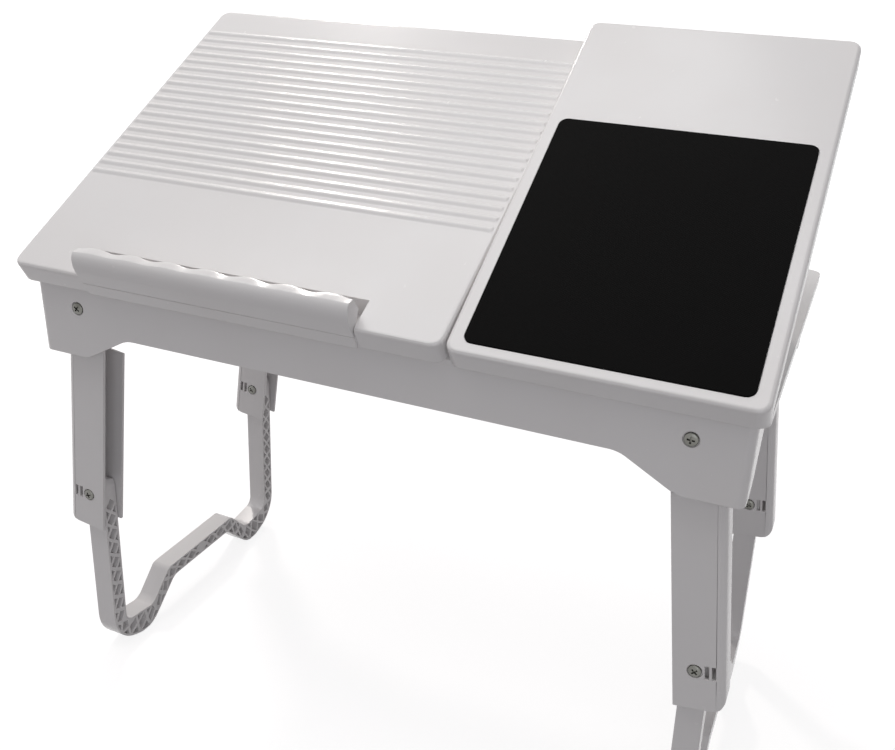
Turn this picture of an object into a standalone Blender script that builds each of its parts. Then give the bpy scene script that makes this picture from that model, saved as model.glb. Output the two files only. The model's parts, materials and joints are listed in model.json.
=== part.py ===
"""Folding laptop table: two tilting boards on a base frame that stands on folding legs.

Units are metres, +Z is up and the floor is Z = 0. X runs along the table's width, the front
faces -Y, and the origin is below the middle of the table's outer box.
"""
import math

import bmesh
import bpy
from mathutils import Matrix, Vector

MM = 0.001

# Overall sizes
TABLE_WIDTH = 530 * MM
LEFT_BOARD_WIDTH = 335.5 * MM
BOARD_GAP = 1.5 * MM
BOARD_DEPTH = 314 * MM
BOARD_THICKNESS = 17 * MM
BOARD_WALL = 2.5 * MM
BOARD_CORNER_RADIUS = 8 * MM
BOARD_EDGE_RADIUS = 3 * MM
CLEARANCE = 0.3 * MM
CLOSED_GAP = 0.5 * MM
# How far cutters run past a face, and joined shapes into one another
OVERRUN = 5 * MM
LONG_OVERRUN = 20 * MM
OVERLAP = 1 * MM
SIDE_PLAY = 1.2 * MM

# Board hinges and angles in the photographed pose
LEFT_TILT = math.radians(29.86)
RIGHT_TILT = math.radians(33.29)
HINGE_INSET = 12 * MM
HINGE_RISE = 2 * MM
HINGE_SETBACK = 2.9 * MM
HINGE_PIN_RADIUS = 1.25 * MM
HINGE_LUG_RADIUS = 3.5 * MM
HINGE_LUG_WIDTH = 10 * MM
HINGE_EAR_WIDTH = 3.5 * MM
# Each board's hinges, as distances from its left and its right edge
LEFT_HINGE_INSETS = (32 * MM, 30.5 * MM)
RIGHT_HINGE_INSETS = (25 * MM, 25 * MM)

# Raised ridges of the left board
RIDGE_COUNT = 19
RIDGE_PITCH = 9.95 * MM
RIDGE_START = 102 * MM
RIDGE_WIDTH = 4 * MM
RIDGE_HEIGHT = 1.1 * MM
RIDGE_LEFT_MARGIN = 5 * MM
RIDGE_RIGHT_MARGIN = 5 * MM

# Mouse pad, let into the right board
PAD_SIDE_MARGIN = 9.9 * MM
PAD_FRONT_MARGIN = 8.6 * MM
PAD_DEPTH = 198.4 * MM
PAD_CORNER_RADIUS = 6 * MM
PAD_RECESS = 1 * MM
PAD_THICKNESS = 1.3 * MM

# Laptop stop, hinged in a pocket at the left board's front edge
STOP_START = 62 * MM
STOP_LENGTH = 214 * MM
STOP_LOBES = 7
STOP_LOBE_DEPTH = 2.4 * MM
STOP_HEIGHT = 18 * MM
STOP_BACK = 13 * MM
STOP_PROUD = 1.5 * MM
STOP_FOOT = 6 * MM
STOP_HINGE_INSET = 1.5 * MM
STOP_HINGE_DROP = 3 * MM
STOP_PIN_RADIUS = 1 * MM
STOP_PIN_LENGTH = 8 * MM
POCKET_FLOOR = 1.5 * MM

# Wire props
PROP_ARM = 130 * MM
PROP_RADIUS = 2 * MM
LEFT_PROP_WIDTH = 160 * MM
RIGHT_PROP_WIDTH = 104 * MM
PROP_LUG_WIDTH = 8 * MM
PROP_LUG_DEPTH = 9 * MM
PROP_BEND = 9 * MM
NOTCH_PITCH = 7.5 * MM
NOTCH_WIDTH = 5 * MM
NOTCH_DEPTH = 1.5 * MM
NOTCH_STEPS = (-2, -1, 0, 1, 2)

# Base frame
DECK_THICKNESS = 3 * MM
RIM_HEIGHT = 8 * MM
RIM_OVERHANG = 5.5 * MM
RIM_CORNER_RADIUS = 9 * MM
DECK_FRONT_BEVEL = 4 * MM
APRON_WALL = 3 * MM
APRON_HEIGHT = 40.8 * MM
LOBE_DROP = 20.4 * MM
LOBE_FLAT = 40.5 * MM
LOBE_RUN = 37 * MM
LOBE_ROUND = 22 * MM
END_LOBE_FLAT = 24 * MM
END_LOBE_RUN = 26 * MM
END_APRON_HEIGHT = 12 * MM
APRON_CORNER_RADIUS = 6 * MM

# Legs
LEG_PIVOT_INSET = 41.5 * MM
LEG_PIVOT_DROP = 23.2 * MM
LEG_SPAN = 168.9 * MM
LEG_SPLAY = math.radians(7.73)
KNEE_HEIGHT = 161.8 * MM
SHIN_SPLAY = math.radians(1.5)
LEG_MIDDLE_SETBACK = 138.5 * MM
CHANNEL_OUTER = 128.2 * MM
CHANNEL_DEPTH = 24 * MM
CHANNEL_WALL = 2.5 * MM
CHANNEL_OUTWARD = 19.8 * MM
CHANNEL_INWARD = 14.5 * MM
CHANNEL_BELOW_KNEE = 30 * MM
CHANNEL_CORNER_RADIUS = 6 * MM
CHANNEL_END_RADIUS = 9 * MM
FOLD_NOTCH_TOP = 6.2 * MM
FOLD_NOTCH_BOTTOM = 44 * MM
FOLD_NOTCH_OUTWARD = 10.5 * MM
SLOT_OFFSETS = (7.9 * MM, 12.4 * MM)
SLOT_WIDTH = 2.6 * MM
SLOT_HEIGHT = 10 * MM
AXLE_RADIUS = 3 * MM
AXLE_BORE_DEPTH = 9 * MM
SCREW_HEAD_RADIUS = 4.5 * MM
SCREW_HEAD_HEIGHT = 2 * MM
SCREW_SHANK_RADIUS = 1.6 * MM
SCREW_HEAD_BEVEL = 0.8 * MM
SCREW_RECESS = 1.3 * MM
DRIVE_HALF_LENGTH = 2.4 * MM
DRIVE_HALF_WIDTH = 0.45 * MM
DRIVE_DEPTH = 1.1 * MM
BOSS_RADIUS = 6 * MM
BEARING_RADIUS = 5 * MM
BEARING_WALL = 2.5 * MM
LEG_REST_DROP = 10 * MM
NUT_RADIUS = 4 * MM
NUT_HEIGHT = 3 * MM

# Lower legs, a bar bent into two feet and a raised bridge
SHIN_WIDTH = 18 * MM
SHIN_OUTER = 122 * MM
SHIN_INNER = 107.5 * MM
SHIN_LEAN = 1 * MM
SHIN_TIP = 13 * MM
SHIN_TIP_BACK = 7 * MM
TOE_OFFSET = 85 * MM
TOE_RADIUS = 24 * MM
HEEL_RADIUS = 34 * MM
HEEL_INNER_RADIUS = 9 * MM
INSTEP_RADIUS = 13 * MM
RISE_RADIUS = 8 * MM
BRIDGE_RADIUS = 9 * MM
SOLE_SLOPE = math.radians(18.7)
RISE_SLOPE = math.radians(43.4)
BRIDGE_CLEARANCE = 31.7 * MM
BRIDGE_THICKNESS = 13 * MM
INSTEP = 20 * MM
INSTEP_OFFSET = 73 * MM
HEEL_DROP = 25 * MM
BRIDGE_CORNER = 49 * MM
SOLE_FLAT = 0.35 * MM
LATTICE_RIB = 2 * MM
LATTICE_RIM = 0.9 * MM
LATTICE_DEPTH = 5 * MM
LATTICE_PITCH = 14 * MM

ROUND_SEGMENTS = 20
ARC_SEGMENTS = 4
SHIN_ARC_SEGMENTS = 8

# Heights and places that follow from the sizes above
LEG_PIVOT_Z = KNEE_HEIGHT + LEG_SPAN * math.cos(LEG_SPLAY)
DECK_TOP_Z = LEG_PIVOT_Z + LEG_PIVOT_DROP
DECK_UNDER_Z = DECK_TOP_Z - DECK_THICKNESS
HINGE_Z = DECK_TOP_Z + CLOSED_GAP + HINGE_RISE
HALF_WIDTH = TABLE_WIDTH / 2
LEG_PIVOT_X = HALF_WIDTH - LEG_PIVOT_INSET
DECK_DEPTH = BOARD_DEPTH - HINGE_INSET + HINGE_SETBACK
RIGHT_BOARD_WIDTH = TABLE_WIDTH - LEFT_BOARD_WIDTH - BOARD_GAP
# Height of the hinge axis below a board's top face
HINGE_DEPTH = BOARD_THICKNESS - HINGE_RISE


def stop_outline():
    """Section of the raised laptop stop: (distance behind the board's front edge, height).

    Its foot is round about the hinge, so that it turns above the pad below it.
    """
    round_foot = STOP_FOOT - STOP_HINGE_DROP
    heel = STOP_HINGE_INSET + round_foot
    return [
        (STOP_HINGE_INSET, -STOP_FOOT),
        (-STOP_PROUD, -STOP_FOOT),
        (-STOP_PROUD, 0.0),
        (-STOP_PROUD * 0.4, STOP_HEIGHT * 0.5),
        (STOP_PROUD, STOP_HEIGHT * 0.82),
        (STOP_BACK * 0.45, STOP_HEIGHT),
        (STOP_BACK, STOP_HEIGHT * 0.95),
        (STOP_BACK, STOP_HEIGHT * 0.25),
        (heel, -STOP_HINGE_DROP / 2),
        (heel, -STOP_HINGE_DROP),
        (STOP_HINGE_INSET + round_foot * 0.7, -STOP_HINGE_DROP - round_foot * 0.7),
    ]


def tilted_front(tilt):
    """How far in front of the deck's front face the raised stop reaches."""
    reaches = []
    for back, height in stop_outline():
        along = back - HINGE_INSET
        above = height + HINGE_DEPTH
        reaches.append(HINGE_SETBACK + along * math.cos(tilt) - above * math.sin(tilt))
    return min(reaches)


# The outer box runs from the stop to the deck's rear edge and is centred on Y = 0
DECK_FRONT_Y = -(tilted_front(LEFT_TILT) + DECK_DEPTH) / 2
DECK_REAR_Y = DECK_FRONT_Y + DECK_DEPTH
HINGE_Y = DECK_FRONT_Y + HINGE_SETBACK
LEG_MIDDLE_Y = DECK_FRONT_Y + LEG_MIDDLE_SETBACK
APRON_REAR_Y = DECK_REAR_Y - RIM_OVERHANG
APRON_SIDE_X = HALF_WIDTH - RIM_OVERHANG

for old in list(bpy.data.objects):
    bpy.data.objects.remove(old)

PARTS = bpy.data.collections.new("laptop_table")
CUTTERS = bpy.data.collections.new("cutters")
bpy.context.scene.collection.children.link(PARTS)
bpy.context.scene.collection.children.link(CUTTERS)


def material(name, color, roughness, metallic=0.0):
    made = bpy.data.materials.new(name)
    made.use_nodes = True
    shader = made.node_tree.nodes["Principled BSDF"]
    shader.inputs["Base Color"].default_value = (*color, 1.0)
    shader.inputs["Roughness"].default_value = roughness
    shader.inputs["Metallic"].default_value = metallic
    return made


WHITE_PLASTIC = ((0.86, 0.85, 0.84), 0.3, 0.0)
BLACK_FOAM = ((0.012, 0.012, 0.012), 0.9, 0.0)
BRIGHT_STEEL = ((0.62, 0.62, 0.6), 0.3, 1.0)


def object_from(name, mesh, finish=None, parent=None):
    """A named part when it has a finish, otherwise a hidden cutter or joined shape."""
    made = bpy.data.objects.new(name, mesh)
    if finish:
        PARTS.objects.link(made)
        mesh.materials.clear()
        mesh.materials.append(material(name, *finish))
    else:
        CUTTERS.objects.link(made)
        made.hide_render = True
        made.display_type = "WIRE"
    made.parent = parent
    return made


def mesh_from(name, bm):
    mesh = bpy.data.meshes.new(name)
    bm.to_mesh(mesh)
    bm.free()
    return mesh


def box(name, xs, ys, zs, finish=None, parent=None, corner=0.0, top=0.0):
    """A block, with its upright edges rounded to corner and its upper edges to top."""
    bm = bmesh.new()
    bmesh.ops.create_cube(bm, size=1.0)
    size = Vector((xs[1] - xs[0], ys[1] - ys[0], zs[1] - zs[0]))
    middle = Vector((xs[0] + xs[1], ys[0] + ys[1], zs[0] + zs[1])) / 2
    bmesh.ops.scale(bm, vec=size, verts=bm.verts)
    bmesh.ops.translate(bm, vec=middle, verts=bm.verts)
    if corner:
        upright = [e for e in bm.edges if abs(e.verts[0].co.z - e.verts[1].co.z) > size.z / 2]
        bmesh.ops.bevel(
            bm, geom=upright, offset=corner, segments=ARC_SEGMENTS, affect="EDGES", profile=0.5
        )
    if top:
        rim = [e for e in bm.edges if min(v.co.z for v in e.verts) > zs[1] - 1e-6]
        bmesh.ops.bevel(bm, geom=rim, offset=top, segments=3, affect="EDGES", profile=0.5)
    return object_from(name, mesh_from(name, bm), finish, parent)


def cylinder(name, radius, start, end, finish=None, parent=None, segments=ROUND_SEGMENTS):
    """A round bar from start to end along X or Y."""
    start = Vector(start)
    end = Vector(end)
    along = end - start
    turn = along.to_track_quat("Z", "Y").to_matrix().to_4x4()
    bm = bmesh.new()
    bmesh.ops.create_cone(
        bm, cap_ends=True, segments=segments, radius1=radius, radius2=radius, depth=along.length,
        matrix=Matrix.Translation((start + end) / 2) @ turn,
    )
    return object_from(name, mesh_from(name, bm), finish, parent)


PLANES = {
    "YZ": Matrix(((0, 0, 1, 0), (1, 0, 0, 0), (0, 1, 0, 0), (0, 0, 0, 1))),
    "XZ": Matrix(((1, 0, 0, 0), (0, 0, -1, 0), (0, 1, 0, 0), (0, 0, 0, 1))),
}


def prism(name, outlines, plane, low, high, finish=None, parent=None):
    """Flat outlines in a plane, given a thickness from low to high across it."""
    curve = bpy.data.curves.new(name, "CURVE")
    curve.dimensions = "2D"
    curve.fill_mode = "BOTH"
    curve.extrude = (high - low) / 2
    for outline in outlines:
        spline = curve.splines.new("POLY")
        spline.points.add(len(outline) - 1)
        for point, place in zip(spline.points, outline):
            point.co = (place[0], place[1], 0.0, 1.0)
        spline.use_cyclic_u = True
    holder = bpy.data.objects.new(name + "_outline", curve)
    CUTTERS.objects.link(holder)
    graph = bpy.context.evaluated_depsgraph_get()
    mesh = bpy.data.meshes.new_from_object(holder.evaluated_get(graph))
    bpy.data.objects.remove(holder)
    bm = bmesh.new()
    bm.from_mesh(mesh)
    bmesh.ops.remove_doubles(bm, verts=bm.verts, dist=1e-6)
    bmesh.ops.recalc_face_normals(bm, faces=bm.faces)
    bm.to_mesh(mesh)
    bm.free()
    across = Vector((1, 0, 0)) if plane == "YZ" else Vector((0, 1, 0))
    mesh.transform(Matrix.Translation(across * (low + high) / 2) @ PLANES[plane])
    return object_from(name, mesh, finish, parent)


def combine(target, tool, operation="DIFFERENCE"):
    modifier = target.modifiers.new(tool.name, "BOOLEAN")
    modifier.operation = operation
    modifier.solver = "EXACT"
    modifier.object = tool


def empty(name, place, turn=(0, 0, 0), parent=None):
    made = bpy.data.objects.new(name, None)
    PARTS.objects.link(made)
    made.parent = parent
    made.location = place
    made.rotation_euler = turn
    return made


def smooth(part, angle=40):
    part.data.shade_smooth()
    part.data.set_sharp_from_angle(angle=math.radians(angle))


def corner_arc(before, corner, after, radius, steps=ARC_SEGMENTS):
    """Points of the arc that rounds one corner of an outline."""
    before = Vector(before)
    corner = Vector(corner)
    after = Vector(after)
    first = (before - corner).normalized()
    second = (after - corner).normalized()
    half = first.angle(second) / 2
    reach = radius / math.tan(half)
    start = corner + first * reach
    end = corner + second * reach
    centre = corner + (first + second).normalized() * radius / math.sin(half)
    points = []
    for step in range(steps + 1):
        share = step / steps
        spoke = (start - centre).slerp(end - centre, share).normalized()
        points.append(tuple(centre + spoke * radius))
    return points


def rounded(corners, radii, steps=ARC_SEGMENTS):
    """An open outline through the corners, each rounded to its radius."""
    points = [tuple(corners[0])]
    for index in range(1, len(corners) - 1):
        if radii[index]:
            points += corner_arc(*corners[index - 1:index + 2], radii[index], steps)
        else:
            points.append(tuple(corners[index]))
    points.append(tuple(corners[-1]))
    return points


# Base frame

def board_ranges():
    left = (-HALF_WIDTH, -HALF_WIDTH + LEFT_BOARD_WIDTH)
    right = (HALF_WIDTH - RIGHT_BOARD_WIDTH, HALF_WIDTH)
    return left, right


def hinge_pair(board, insets):
    return board[0] + insets[0], board[1] - insets[1]


def hinge_places():
    left, right = board_ranges()
    return hinge_pair(left, LEFT_HINGE_INSETS) + hinge_pair(right, RIGHT_HINGE_INSETS)


def prop_middle(board):
    return (board[0] + board[1]) / 2


def prop_foot_y(tilt):
    return HINGE_Y + 2 * PROP_ARM * math.cos(tilt)


def lobe_cutter(name, plane, low, high, centre, half, run, flat, rise):
    """Cuts an apron's lower edge: flat lobes at its ends and a raised middle between them."""
    bottom = DECK_TOP_Z - APRON_HEIGHT - LOBE_DROP
    below = bottom - LONG_OVERRUN
    start = half - flat
    end = start + LONG_OVERRUN
    outline = [
        (end, bottom - OVERLAP),
        (start, bottom),
        (start - run, bottom + rise),
        (-(start - run), bottom + rise),
        (-start, bottom),
        (-end, bottom - OVERLAP),
    ]
    radii = [0, LOBE_ROUND, LOBE_ROUND, LOBE_ROUND, LOBE_ROUND, 0]
    points = rounded(outline, radii)
    points += [(-end, below), (end, below)]
    placed = [(centre + a, b) for a, b in points]
    return prism(name, [placed], plane, low - LONG_OVERRUN, high + LONG_OVERRUN)


def bearing_rib(name, side, y_low, y_high):
    """A web from the end wall that carries the leg axle in a round eye."""
    eye_x = side * LEG_PIVOT_X
    wall_x = side * (APRON_SIDE_X - APRON_WALL / 2)
    top = DECK_UNDER_Z + DECK_THICKNESS / 2
    edge = side * BEARING_RADIUS
    corners = [
        (wall_x, top),
        (eye_x - edge, top),
        (eye_x - edge, LEG_PIVOT_Z),
    ]
    turns = 6
    for step in range(1, turns + 1):
        angle = math.pi * step / turns
        corners.append((eye_x - edge * math.cos(angle), LEG_PIVOT_Z - BEARING_RADIUS * math.sin(angle)))
    corners.append((wall_x, LEG_PIVOT_Z + BEARING_RADIUS / 2))
    return prism(name, [corners], "XZ", y_low, y_high)


def stop_rib(name, side, y_low, y_high):
    """The block under the deck, against the end wall, that the splayed upright leans on."""
    points = []
    for drop in (-LEG_PIVOT_DROP + DECK_THICKNESS / 2, LEG_REST_DROP):
        web = LEG_PIVOT_X + CHANNEL_OUTWARD / math.cos(LEG_SPLAY) + drop * math.tan(LEG_SPLAY)
        points.append((side * (web + CLEARANCE), LEG_PIVOT_Z - drop))
    outer = side * (APRON_SIDE_X - APRON_WALL / 2)
    points += [(outer, points[1][1]), (outer, points[0][1])]
    return prism(name, [points], "XZ", y_low, y_high)


def base_tray():
    bottom = DECK_TOP_Z - APRON_HEIGHT - LOBE_DROP
    tray = box(
        "base_tray", (-APRON_SIDE_X, APRON_SIDE_X), (DECK_FRONT_Y, APRON_REAR_Y),
        (bottom, DECK_TOP_Z - RIM_HEIGHT / 2), WHITE_PLASTIC, corner=APRON_CORNER_RADIUS,
    )
    rim = box(
        "rim_plate", (-HALF_WIDTH, HALF_WIDTH), (DECK_FRONT_Y - CLOSED_GAP, DECK_REAR_Y),
        (DECK_TOP_Z - RIM_HEIGHT, DECK_TOP_Z), corner=RIM_CORNER_RADIUS,
    )
    combine(tray, rim, "UNION")
    inside = box(
        "tray_inside", (-APRON_SIDE_X + APRON_WALL, APRON_SIDE_X - APRON_WALL),
        (DECK_FRONT_Y + APRON_WALL, APRON_REAR_Y - APRON_WALL),
        (bottom - LONG_OVERRUN, DECK_UNDER_Z), corner=APRON_CORNER_RADIUS - APRON_WALL,
    )
    combine(tray, inside)
    middle_y = (DECK_FRONT_Y + APRON_REAR_Y) / 2
    half_y = (APRON_REAR_Y - DECK_FRONT_Y) / 2
    long_cut = lobe_cutter(
        "apron_edge", "XZ", DECK_FRONT_Y, APRON_REAR_Y, 0.0, APRON_SIDE_X,
        LOBE_RUN, LOBE_FLAT, LOBE_DROP,
    )
    combine(tray, long_cut)
    end_rise = APRON_HEIGHT + LOBE_DROP - END_APRON_HEIGHT
    end_cut = lobe_cutter(
        "end_edge", "YZ", -APRON_SIDE_X, APRON_SIDE_X, middle_y, half_y,
        END_LOBE_RUN, END_LOBE_FLAT, end_rise,
    )
    combine(tray, end_cut)
    combine(tray, front_bevel())
    for tool in tray_additions():
        combine(tray, tool, "UNION")
    for tool in tray_holes():
        combine(tray, tool)
    smooth(tray)
    return tray


def front_bevel():
    """Takes the deck's front upper edge off, where the boards' front walls swing down."""
    face = DECK_FRONT_Y - CLOSED_GAP
    points = [
        (face - OVERRUN, DECK_TOP_Z - DECK_FRONT_BEVEL - OVERRUN),
        (face + DECK_FRONT_BEVEL + OVERRUN, DECK_TOP_Z + OVERRUN),
        (face - OVERRUN, DECK_TOP_Z + OVERRUN),
    ]
    return prism("front_bevel", [points], "YZ", -HALF_WIDTH - OVERRUN, HALF_WIDTH + OVERRUN)


def channel_ys(end):
    """Outer and inner faces of the uprights at the front (end -1) or the rear (end 1)."""
    outer = LEG_MIDDLE_Y + end * CHANNEL_OUTER
    inner = LEG_MIDDLE_Y + end * (CHANNEL_OUTER - CHANNEL_DEPTH)
    return outer, inner


def tray_additions():
    tools = []
    for side in (-1, 1):
        for end in (-1, 1):
            label = f"{side}_{end}"
            outer, inner = channel_ys(end)
            rib_start = inner - end * SIDE_PLAY
            rib = sorted((rib_start, rib_start - end * BEARING_WALL))
            tools.append(bearing_rib("bearing_" + label, side, *rib))
            wall = DECK_FRONT_Y + APRON_WALL / 2 if end < 0 else APRON_REAR_Y - APRON_WALL / 2
            boss_end = outer + end * SIDE_PLAY
            x = side * LEG_PIVOT_X
            tools.append(cylinder(
                "boss_" + label, BOSS_RADIUS, (x, wall, LEG_PIVOT_Z), (x, boss_end, LEG_PIVOT_Z)
            ))
            inset = end * CHANNEL_CORNER_RADIUS
            leaning = sorted((outer - inset, inner + inset / 2))
            tools.append(stop_rib("leg_rest_" + label, side, *leaning))
    for x in hinge_places():
        for turn in (-1, 1):
            near = HINGE_LUG_WIDTH / 2 + CLEARANCE
            xs = sorted((x + turn * near, x + turn * (near + HINGE_EAR_WIDTH)))
            ear = box(
                f"ear_{x:.3f}_{turn}", xs,
                (HINGE_Y - HINGE_PIN_RADIUS * 2, HINGE_Y + HINGE_LUG_RADIUS),
                (DECK_UNDER_Z + CLEARANCE, HINGE_Z + HINGE_PIN_RADIUS * 2),
            )
            tools.append(ear)
    return tools


def prop_settings():
    left, right = board_ranges()
    return (left, LEFT_TILT, LEFT_PROP_WIDTH), (right, RIGHT_TILT, RIGHT_PROP_WIDTH)


def tray_holes():
    tools = []
    for x in hinge_places():
        half = HINGE_LUG_WIDTH / 2 + CLEARANCE
        lug = HINGE_LUG_RADIUS + SIDE_PLAY
        tools.append(box(
            f"lug_window_{x:.3f}", (x - half, x + half), (HINGE_Y - lug, HINGE_Y + lug),
            (HINGE_Z - lug, HINGE_Z + lug + OVERRUN),
        ))
        pin = half + HINGE_EAR_WIDTH + OVERLAP
        tools.append(cylinder(
            f"pin_hole_{x:.3f}", HINGE_PIN_RADIUS + CLEARANCE, (x - pin, HINGE_Y, HINGE_Z),
            (x + pin, HINGE_Y, HINGE_Z), segments=12,
        ))
    for board, tilt, width in prop_settings():
        middle = prop_middle(board)
        half = width / 2 + PROP_RADIUS + OVERLAP
        for step in NOTCH_STEPS:
            y = prop_foot_y(tilt) + step * NOTCH_PITCH
            tools.append(box(
                f"notch_{middle:.3f}_{step}", (middle - half, middle + half),
                (y - NOTCH_WIDTH / 2, y + NOTCH_WIDTH / 2), (DECK_TOP_Z - NOTCH_DEPTH, DECK_TOP_Z + OVERRUN),
            ))
    for side in (-1, 1):
        x = side * LEG_PIVOT_X
        ends = ((DECK_FRONT_Y, -1), (APRON_REAR_Y, 1))
        tools.append(cylinder(
            f"axle_hole_{side}", AXLE_RADIUS + CLEARANCE, (x, DECK_FRONT_Y - OVERRUN, LEG_PIVOT_Z),
            (x, APRON_REAR_Y + OVERRUN, LEG_PIVOT_Z),
        ))
        for face, end in ends:
            tools.append(cylinder(
                f"head_recess_{side}_{end}", SCREW_HEAD_RADIUS + 2 * CLEARANCE,
                (x, face + end * OVERRUN, LEG_PIVOT_Z), (x, face - end * SCREW_RECESS, LEG_PIVOT_Z),
            ))
    return tools


# Fasteners and shafts

def screw(name, x, face, end, z, length, parent=None):
    """A cross-head screw whose head stands in a recess of the face and points along end."""
    seat = face - end * (SCREW_RECESS - CLEARANCE)
    top = seat + end * SCREW_HEAD_HEIGHT
    head = cylinder(
        name, SCREW_HEAD_RADIUS, (x, seat, z), (x, top, z), BRIGHT_STEEL, parent, segments=16,
    )
    bm = bmesh.new()
    bm.from_mesh(head.data)
    rim = [e for e in bm.edges if all(abs(v.co.y - top) < 1e-6 for v in e.verts)]
    bmesh.ops.bevel(bm, geom=rim, offset=SCREW_HEAD_BEVEL, segments=1, affect="EDGES", profile=0.5)
    bm.to_mesh(head.data)
    bm.free()
    shank = cylinder(
        name + "_shank", SCREW_SHANK_RADIUS, (x, seat + end * OVERLAP / 2, z),
        (x, seat - end * length, z), parent=parent, segments=12,
    )
    combine(head, shank, "UNION")
    for slot in cross_recess(name + "_drive", (x, top, z), end, parent):
        combine(head, slot)
    smooth(head)
    return head


def cross_recess(name, place, end, parent=None):
    """Two crossed slots that cut a screw head's drive."""
    x, y, z = place
    ys = sorted((y - end * DRIVE_DEPTH, y + end * OVERLAP))
    arms = []
    for half_x, half_z in (
        (DRIVE_HALF_LENGTH, DRIVE_HALF_WIDTH),
        (DRIVE_HALF_WIDTH, DRIVE_HALF_LENGTH),
    ):
        arms.append(box(
            f"{name}_{len(arms)}", (x - half_x, x + half_x), ys, (z - half_z, z + half_z), parent=parent
        ))
    return arms


def axle(name, x):
    """A steel rod through the base, with a blind bore for a screw in each end."""
    start = DECK_FRONT_Y + SCREW_RECESS + CLEARANCE
    end = APRON_REAR_Y - SCREW_RECESS - CLEARANCE
    bore = SCREW_SHANK_RADIUS + CLEARANCE
    profile = [
        (0.0, start + AXLE_BORE_DEPTH),
        (bore, start + AXLE_BORE_DEPTH),
        (bore, start),
        (AXLE_RADIUS, start),
        (AXLE_RADIUS, end),
        (bore, end),
        (bore, end - AXLE_BORE_DEPTH),
        (0.0, end - AXLE_BORE_DEPTH),
    ]
    bm = bmesh.new()
    verts = [bm.verts.new((radius, y, 0.0)) for radius, y in profile]
    for first, second in zip(verts, verts[1:]):
        bm.edges.new((first, second))
    rod = object_from(name, mesh_from(name, bm), BRIGHT_STEEL)
    rod.location = (x, 0.0, LEG_PIVOT_Z)
    turned = rod.modifiers.new("turned", "SCREW")
    turned.axis = "Y"
    turned.steps = ROUND_SEGMENTS
    turned.render_steps = ROUND_SEGMENTS
    turned.use_merge_vertices = True
    turned.merge_threshold = 0.00001
    turned.use_normal_calculate = True
    turned.use_normal_flip = True
    return rod


def hinge_pin(name, x):
    half = HINGE_LUG_WIDTH / 2 + CLEARANCE + HINGE_EAR_WIDTH
    pin = cylinder(
        name, HINGE_PIN_RADIUS, (x - half, HINGE_Y, HINGE_Z), (x + half, HINGE_Y, HINGE_Z), BRIGHT_STEEL,
        segments=12,
    )
    smooth(pin)
    return pin


# Boards, drawn flat with the hinge axis at Y = 0, Z = 0 of their hinge empty

BOARD_FRONT = -HINGE_INSET
BOARD_BACK = BOARD_DEPTH - HINGE_INSET
BOARD_TOP = HINGE_DEPTH
BOARD_BOTTOM = -HINGE_RISE


def board_shell(name, width_range, hinge):
    shell = box(
        name, width_range, (BOARD_FRONT, BOARD_BACK), (BOARD_BOTTOM, BOARD_TOP), WHITE_PLASTIC, hinge,
        corner=BOARD_CORNER_RADIUS, top=BOARD_EDGE_RADIUS,
    )
    hollow = box(
        name + "_hollow", (width_range[0] + BOARD_WALL, width_range[1] - BOARD_WALL),
        (BOARD_FRONT + BOARD_WALL, BOARD_BACK - BOARD_WALL),
        (BOARD_BOTTOM - OVERRUN, BOARD_TOP - BOARD_WALL), parent=hinge,
        corner=BOARD_CORNER_RADIUS - BOARD_WALL,
    )
    combine(shell, hollow)
    return shell


def hinge_lug(name, x, hinge):
    """A plate under the board with a round end about the hinge pin."""
    radius = HINGE_LUG_RADIUS
    top = BOARD_TOP - BOARD_WALL / 2
    points = [(radius, top), (-radius, top)]
    turns = 6
    for step in range(turns + 1):
        angle = math.pi + math.pi * step / turns
        points.append((radius * math.cos(angle), radius * math.sin(angle)))
    half = HINGE_LUG_WIDTH / 2
    return prism(name, [points], "YZ", x - half, x + half, parent=hinge)


def add_hinge_lugs(board, places, hinge):
    for x in places:
        combine(board, hinge_lug(f"{board.name}_lug_{x:.3f}", x, hinge), "UNION")
    for x in places:
        half = HINGE_LUG_WIDTH
        combine(board, cylinder(
            f"{board.name}_lug_hole_{x:.3f}", HINGE_PIN_RADIUS + CLEARANCE,
            (x - half, 0, 0), (x + half, 0, 0), parent=hinge, segments=12,
        ))


def add_prop_lugs(board, middle, width, hinge):
    """Two clips under the board, open below, that the prop's ends snap into."""
    for turn in (-1, 1):
        x = middle + turn * (width / 2 - PROP_LUG_WIDTH / 2 - PROP_BEND)
        clip = box(
            f"{board.name}_clip_{turn}", (x - PROP_LUG_WIDTH / 2, x + PROP_LUG_WIDTH / 2),
            (PROP_ARM - PROP_LUG_DEPTH / 2, PROP_ARM + PROP_LUG_DEPTH / 2),
            (BOARD_BOTTOM + CLEARANCE, BOARD_TOP - BOARD_WALL / 2), parent=hinge,
        )
        combine(board, clip, "UNION")
        eye = cylinder(
            f"{board.name}_clip_eye_{turn}", PROP_RADIUS + CLEARANCE,
            (x - PROP_LUG_WIDTH, PROP_ARM, 0), (x + PROP_LUG_WIDTH, PROP_ARM, 0), parent=hinge, segments=16,
        )
        combine(board, eye)


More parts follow.
